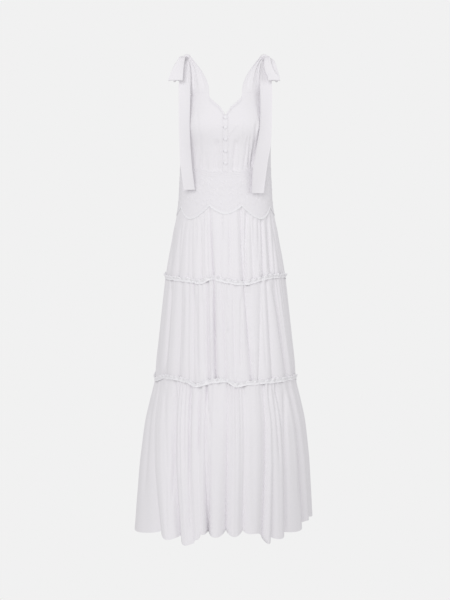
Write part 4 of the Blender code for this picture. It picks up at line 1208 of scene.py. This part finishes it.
# %% [markdown]
# ## Straps, ties and bows
# The straps grow out of the bodice and are gathered into a bow on each shoulder, whose long ends hang
# in front and behind. A ribbon is easiest to think of as a row of stations: where its middle is, how
# wide it is and how far it is turned. Smooth curves through the stations give the cloth between them.

# %% Straps
RIBBON_THICKNESS = 0.0006
STRAP_LAP = 0.0022  # the strap's foot is stitched down over the bodice's top edge
STRAP_LIFT = 0.0002
KNOT_CENTRE = (0.1145, 0.0, 0.0050)
KNOT_RADII = (0.0118, 0.0115, 0.0095)
BOW_HALF = 0.0068  # half a strap's width where it enters the knot


def unit(v):
    return v / np.linalg.norm(v, axis=-1, keepdims=True)


def strap_points(facing, side, base, edge_at, rows=44, columns=49):
    """A strap from the top edge, its outer side fuller, gathered into the knot."""
    j = np.linspace(0.0, 1.0, columns)
    degrees = mix(base[0], base[1], j)
    turn = side * np.radians(degrees)
    height = edge_at(degrees) - STRAP_LAP
    start = on_dress(facing, turn, height, STRAP_LIFT)
    up = unit(on_dress(facing, turn, height + 0.004, STRAP_LIFT) - start)
    up[:, 0] += side * (0.50 if facing == FRONT else 0.10) * j
    reach = 0.045 if facing == FRONT else 0.070
    inward = unit(np.array((side * 0.52, -facing * 0.52, 0.68)))
    across = unit(np.array((side * 0.80, facing * 0.15, -0.52)))
    end = np.array((side * (KNOT_CENTRE[0] - 0.0055), facing * 0.0035, KNOT_CENTRE[2] - 0.0035))
    finish = end + across * mix(-BOW_HALF, BOW_HALF, j)[:, None]
    t = np.linspace(0.0, 1.0, rows).reshape(-1, 1, 1)
    points = ((1 - t) ** 3 * start + 3 * t * (1 - t) ** 2 * (start + up * reach)
              + 3 * t * t * (1 - t) * (finish - inward * reach) + t ** 3 * finish)
    t = t[..., 0]
    deep = np.sin(math.pi * np.minimum(1.0, 1.4 * t))
    pleat = 0.0017 * np.cos(2 * math.pi * 2.2 * j + 0.4) + 0.0004 * np.cos(2 * math.pi * 6 * j + 1.0)
    points[..., 1] += facing * pleat * np.maximum(deep, ramp(t / 0.3)) * ramp(t / 0.06)
    return points


STRAPS = (
    ("front", FRONT, FRONT_STRAP, front_edge_at, (0.062, 0.119)),
    ("back", BACK, BACK_STRAP, back_edge_at, (0.040, 0.207)),
)
for side, sign in SIDES:
    for title, facing, base, edge_at, flat in STRAPS:
        outer, inner = thicken(strap_points(facing, sign, base, edge_at), RIBBON_THICKNESS)
        item = sheet_mesh(f"shoulder_strap_{title}_{side}", outer, inner)
        sew_on(item, voile, [f"strap_{title}_{side}"])

# %% Stations of the ties and bows
Stop = namedtuple("Stop", "out along up half_width twist")
TAIL_START = table(
    Stop,
    (117.0, -6.5, -1.0, 5.0, 0),
    (117.0, -17.0, -9.0, 8.0, 0),
    (117.5, -29.0, -29.0, 12.5, 6),
)
RIGHT_TAIL = TAIL_START + table(
    Stop,
    (119.0, -45.0, -60.0, 17.0, 14),
    (120.5, -59.0, -95.0, 18.2, 20),
    (120.5, -73.0, -140.0, 18.0, 23),
    (120.5, -83.0, -200.0, 17.5, 23),
    (119.0, -86.0, -260.0, 17.6, 23),
    (115.0, -86.0, -320.0, 17.8, 22),
    (106.0, -86.0, -390.0, 17.6, 22),
)
LEFT_TAIL = TAIL_START + table(
    Stop,
    (118.5, -45.0, -60.0, 17.0, 12),
    (119.0, -60.0, -95.0, 18.6, 18),
    (119.5, -74.0, -140.0, 18.6, 22),
    (118.5, -86.0, -197.0, 19.0, 24),
    (112.5, -90.0, -258.0, 21.5, 25),
    (101.5, -91.0, -322.0, 22.5, 25),
    (94.5, -92.0, -400.0, 19.5, 25),
)
BACK_TAIL = table(
    Stop,
    (112.5, 5.0, 2.0, 6.5, 0),
    (112.5, 16.0, -3.0, 8.0, 0),
    (114.5, 27.0, -16.0, 11.5, -6),
    (118.5, 41.0, -37.0, 14.5, -12),
    (122.0, 57.0, -66.0, 16.4, -18),
    (123.0, 72.0, -106.0, 16.8, -22),
    (122.5, 82.0, -150.0, 16.8, -24),
    (121.0, 86.0, -220.0, 16.8, -24),
    (118.0, 87.0, -300.0, 17.0, -22),
    (112.0, 88.0, -384.0, 17.4, -22),
)
RIGHT_LOOP = table(
    Stop,
    (119.0, -6.0, 6.0, 6.0, 0),
    (127.0, -23.0, 2.0, 8.5, 0),
    (134.5, -40.0, -18.0, 12.5, 4),
    (141.5, -55.0, -43.0, 17.5, 6),
    (145.5, -64.0, -62.0, 20.5, 6),
    (146.5, -66.5, -68.5, 21.0, 6),
    (146.5, -63.5, -71.5, 21.0, 6),
    (146.5, -60.0, -68.5, 21.0, 6),
    (145.0, -54.0, -58.0, 20.0, 6),
    (140.5, -42.0, -36.0, 16.5, 4),
    (134.5, -28.0, -14.0, 11.8, 0),
    (128.0, -14.0, -3.0, 8.0, 0),
    (119.0, -2.5, 1.0, 6.0, 0),
)
LEFT_LOOP = table(
    Stop,
    (119.0, -6.0, 6.0, 6.0, 0),
    (123.5, -23.0, 2.0, 8.0, 0),
    (124.5, -40.0, -18.0, 10.5, 4),
    (130.0, -54.0, -42.0, 13.5, 6),
    (141.0, -64.0, -61.0, 17.0, 6),
    (142.5, -66.5, -68.0, 17.6, 6),
    (142.5, -63.5, -71.0, 17.8, 6),
    (142.5, -60.0, -68.0, 17.8, 6),
    (141.5, -54.0, -58.0, 17.0, 6),
    (138.5, -42.0, -36.0, 15.0, 4),
    (134.0, -28.0, -14.0, 12.5, 0),
    (128.0, -14.0, -3.0, 9.0, 0),
    (119.0, -2.5, 1.0, 6.0, 0),
)
BACK_LOOP = table(
    Stop,
    (118.5, 4.0, 6.0, 5.0, 70),
    (127.0, 13.0, 2.0, 7.5, 70),
    (137.5, 24.0, -13.0, 12.5, 70),
    (145.5, 32.0, -34.0, 17.0, 70),
    (149.5, 36.0, -54.0, 19.5, 70),
    (150.5, 36.0, -62.0, 20.0, 70),
    (147.0, 36.0, -65.0, 20.0, 70),
    (143.5, 35.0, -62.0, 20.0, 70),
    (141.5, 32.0, -50.0, 19.0, 70),
    (136.5, 26.0, -30.0, 16.0, 70),
    (130.0, 17.0, -11.0, 11.0, 70),
    (123.5, 9.0, -1.0, 6.5, 70),
    (118.5, 2.5, 2.0, 4.5, 70),
)
print("stations in a tie:", len(LEFT_TAIL))

# %% Ties and bows
RIBBON_BOW = 0.0016
RIBBON_COLUMNS, RIBBON_PLEATS = 27, 5.0
ROLLED_EDGE = 0.0008


def ribbon_points(stops, side, rows, waves):
    """Points of a ribbon through its stations, and how thick it is at each."""
    station = np.arange(len(stops), dtype=float)
    at = np.linspace(0.0, station[-1], rows)
    out, along, up, half, twist = (smooth_curve(list(zip(station, column)))(at) for column in zip(*stops))
    middle = np.stack((side * out, along, up), -1) * MM
    twist = np.radians(twist)
    across = np.stack((side * np.cos(twist), np.sin(twist), np.zeros(rows)), -1)
    normal = unit(np.cross(across, np.gradient(middle, axis=0))) * side
    far = lengths_along(middle[None], 1)[0][:, None]
    left = far[-1] - far
    c = np.linspace(-1.0, 1.0, RIBBON_COLUMNS)
    lift = RIBBON_BOW * (1 - c * c)
    lift = lift + 0.0010 * np.cos(math.pi * RIBBON_PLEATS * c + 0.6) * np.exp(-far / 0.040) * ramp(far / 0.01)
    lift = lift + waves * np.sin(far / 0.033 + 1.4 * c + side) * ramp(far / 0.10)
    points = middle[:, None] + across[:, None] * (half[:, None] * MM * c)[..., None]
    points = points + normal[:, None] * lift[..., None]
    edge = np.maximum(ramp((np.abs(c) - 0.86) / 0.05), ramp((0.006 - left) / 0.001))
    return points, RIBBON_THICKNESS + ROLLED_EDGE * edge


RIBBONS = (
    ("tie_end_front", "tie_front", (LEFT_TAIL, RIGHT_TAIL), 110, 0.0007, (0.037, 0.425), "hung"),
    ("tie_end_back", "tie_back", (BACK_TAIL, BACK_TAIL), 110, 0.0007, (0.034, 0.415), "hung"),
    ("bow_loop_front", "loop_front", (LEFT_LOOP, RIGHT_LOOP), 84, 0.0005, (0.038, 0.190), "folded"),
    ("bow_loop_back", "loop_back", (BACK_LOOP, BACK_LOOP), 84, 0.0005, (0.036, 0.170), "folded"),
)
for i, (side, sign) in enumerate(SIDES):
    for title, node, stops, rows, waves, flat, held in RIBBONS:
        points, thickness = ribbon_points(stops[i], sign, rows, waves)
        item = sheet_mesh(f"{title}_{side}", *thicken(points, thickness[..., None]))
        sew_on(item, voile, [f"{node}_{side}"])

# %% [markdown]
# ## Knots
# The knot is one turn of the tie drawn tight round the rest. A sphere of the solid's size is pulled
# into soft folds that run over it from front to back, then smoothed with one subdivision.

# %% Knots
KNOT_END = 0.82  # past this share of its half length a knot narrows


def knot(side, sign):
    item = blank(bpy.ops.mesh.primitive_uv_sphere_add, KNOT_RADII, (0.9, 0.8, 0.8),
                 lambda co: abs(co.x) > KNOT_END * KNOT_RADII[0], segments=40, ring_count=20, radius=1.0)
    centre = Vector((sign * KNOT_CENTRE[0], *KNOT_CENTRE[1:]))
    for v in item.data.vertices:
        across = v.co.x / KNOT_RADII[0] + 0.25 * v.co.y / KNOT_RADII[1]
        fold = 1 + 0.10 * math.cos(9 * across + sign)
        fold += 0.05 * math.cos(21 * across + 2 * v.co.z / KNOT_RADII[2])
        v.co = Vector((v.co.x * sign, v.co.y * fold, v.co.z * fold)) + centre
    smooth = item.modifiers.new("smooth", "SUBSURF")
    smooth.levels = smooth.render_levels = 1
    bpy.ops.object.modifier_apply(modifier="smooth")
    if sign < 0:
        item.data.flip_normals()
    item.name = f"bow_knot_{side}"
    item.data.uv_layers[0].name = "cloth"
    return item


for side, sign in SIDES:
    sew_on(knot(side, sign), voile, [f"knot_{side}"])

# %% [markdown]
# ## Stitches
# One small stitch is modelled and copied along each row of sewing: the hem, both edges of the placket
# and the top of the lace band. Every copy gets its own place in its mesh, and a row is joined into one
# piece. The hem's row uses the same rule as the skirt, so it follows every fold.

# %% Stitches
STITCH_HALF, STITCH_YARN = 0.0010, 0.00022
STITCH_STEP = 0.0032
HEM_STITCH_SHARE = 0.969
BAND_STITCH_BELOW = 0.0014


def along_line(line, arc, steps):
    """Points of a line at given distances along it."""
    return np.stack([np.interp(steps, arc, line[:, k]) for k in range(3)], axis=-1)


def stitch_row(name, surface, under):
    """Copies of the stitch at even steps along a line on a cloth, joined into one piece."""
    arc = lengths_along(surface[None], 1)[0]
    steps = np.arange(STITCH_STEP, arc[-1] - STITCH_STEP / 2, STITCH_STEP)
    place, inner = along_line(surface, arc, steps), along_line(under, arc, steps)
    ahead = along_line(surface, arc, steps + STITCH_HALF / 2)
    out, along = unit(place - inner), unit(ahead - place)
    up = unit(np.cross(out, along))
    along = np.cross(up, out)
    shape = np.array([v.co for v in blank_stitch.data.vertices])
    bpy.ops.object.select_all(action="DESELECT")
    for i, point in enumerate(place):
        item = bpy.data.objects.new(name if i == 0 else f"{name}_{i}", blank_stitch.data.copy())
        bpy.context.scene.collection.objects.link(item)
        axes = np.stack((along[i], up[i], out[i]))
        item.data.vertices.foreach_set("co", (point + shape @ axes).ravel())
        item.select_set(True)
        if i == 0:
            bpy.context.view_layer.objects.active = item
    bpy.ops.object.join()
    return sew_on(bpy.context.object, stitch_thread, [])


blank_stitch = blank(bpy.ops.mesh.primitive_uv_sphere_add, (STITCH_HALF / STITCH_YARN, 1, 1),
                     segments=6, ring_count=4, radius=STITCH_YARN)
stitch_thread = covered("sewing_thread")
share = np.array([0.0, HEM_STITCH_SHARE])
for side, facing in FACINGS:
    outer, inner = tier_points(LOWER_TIER, facing, share, LOWER_CREASES, LOWER_GATHER)
    stitch_row(f"hem_stitches_{side}", outer[1], inner[1])
    limit = side_turn(facing, -0.33)
    turn = np.linspace(-limit, limit, BAND_COLUMNS)
    height = band_top(facing, turn) + BAND_LAP - BAND_STITCH_BELOW
    line = [on_dress(facing, turn, height, lift) for lift in (BAND_LIFT, 0.0)]
    stitch_row(f"band_stitches_{side}", *line)
height = np.linspace(PLACKET_TOP - 0.003, BAND_TOP_FRONT[0].height + 0.003, PLACKET_ROWS)
for side, sign in SIDES:
    turn = sign * PLACKET_SEAM * PLACKET_HALF / half_width_at(height)
    line = [on_dress(FRONT, turn, height, lift) for lift in (PLACKET_LIFT + TRIM_WALL - 0.0002, 0.0)]
    stitch_row(f"placket_stitches_{side}", *line)
bpy.data.objects.remove(blank_stitch, do_unlink=True)

# %% [markdown]
# ## Light
# The picture has soft light from the front and above, a little from the left, and a plain pale
# backdrop. A big area light gives the first, a weak one fills the other side, and the world lights the
# rest. A Light Path node shows the camera the backdrop's own grey, whatever light the world gives.

# %% Light
BACKDROP = (0.8796, 0.8796, 0.8796, 1)
WORLD_LIGHT = 0.62
WORLD_COLOUR = (0.985, 0.98, 0.99, 1)


def add_area(name, place, target, size, power):
    data = bpy.data.lights.new(name, "AREA")
    data.shape = "DISK"
    data.size = size
    data.energy = power
    light = bpy.data.objects.new(name, data)
    light.location = place
    light.rotation_euler = (Vector(target) - Vector(place)).to_track_quat("-Z", "Y").to_euler()
    bpy.context.scene.collection.objects.link(light)


def add_world():
    world = bpy.data.worlds.new("studio")
    world.use_nodes = True
    tree = world.node_tree
    shown = tree.nodes["Background"]
    set_inputs(shown, Color=BACKDROP)
    glow = add_node(tree, "ShaderNodeBackground", Color=WORLD_COLOUR, Strength=WORLD_LIGHT)
    mixer = add_node(tree, "ShaderNodeMixShader")
    link(add_node(tree, "ShaderNodeLightPath"), "Is Camera Ray", mixer, "Fac")
    link(glow, "Background", mixer, 1)
    link(shown, "Background", mixer, 2)
    link(mixer, "Shader", tree.nodes["World Output"], "Surface")
    bpy.context.scene.world = world


add_world()
add_area("key", (-1.2, -3.7, 1.2), (0, 0, -0.5), 3.0, 56)
add_area("fill", (3.0, -2.0, 0.2), (0, 0, -0.75), 2.6, 15)
bpy.context.scene.view_settings.view_transform = "Standard"
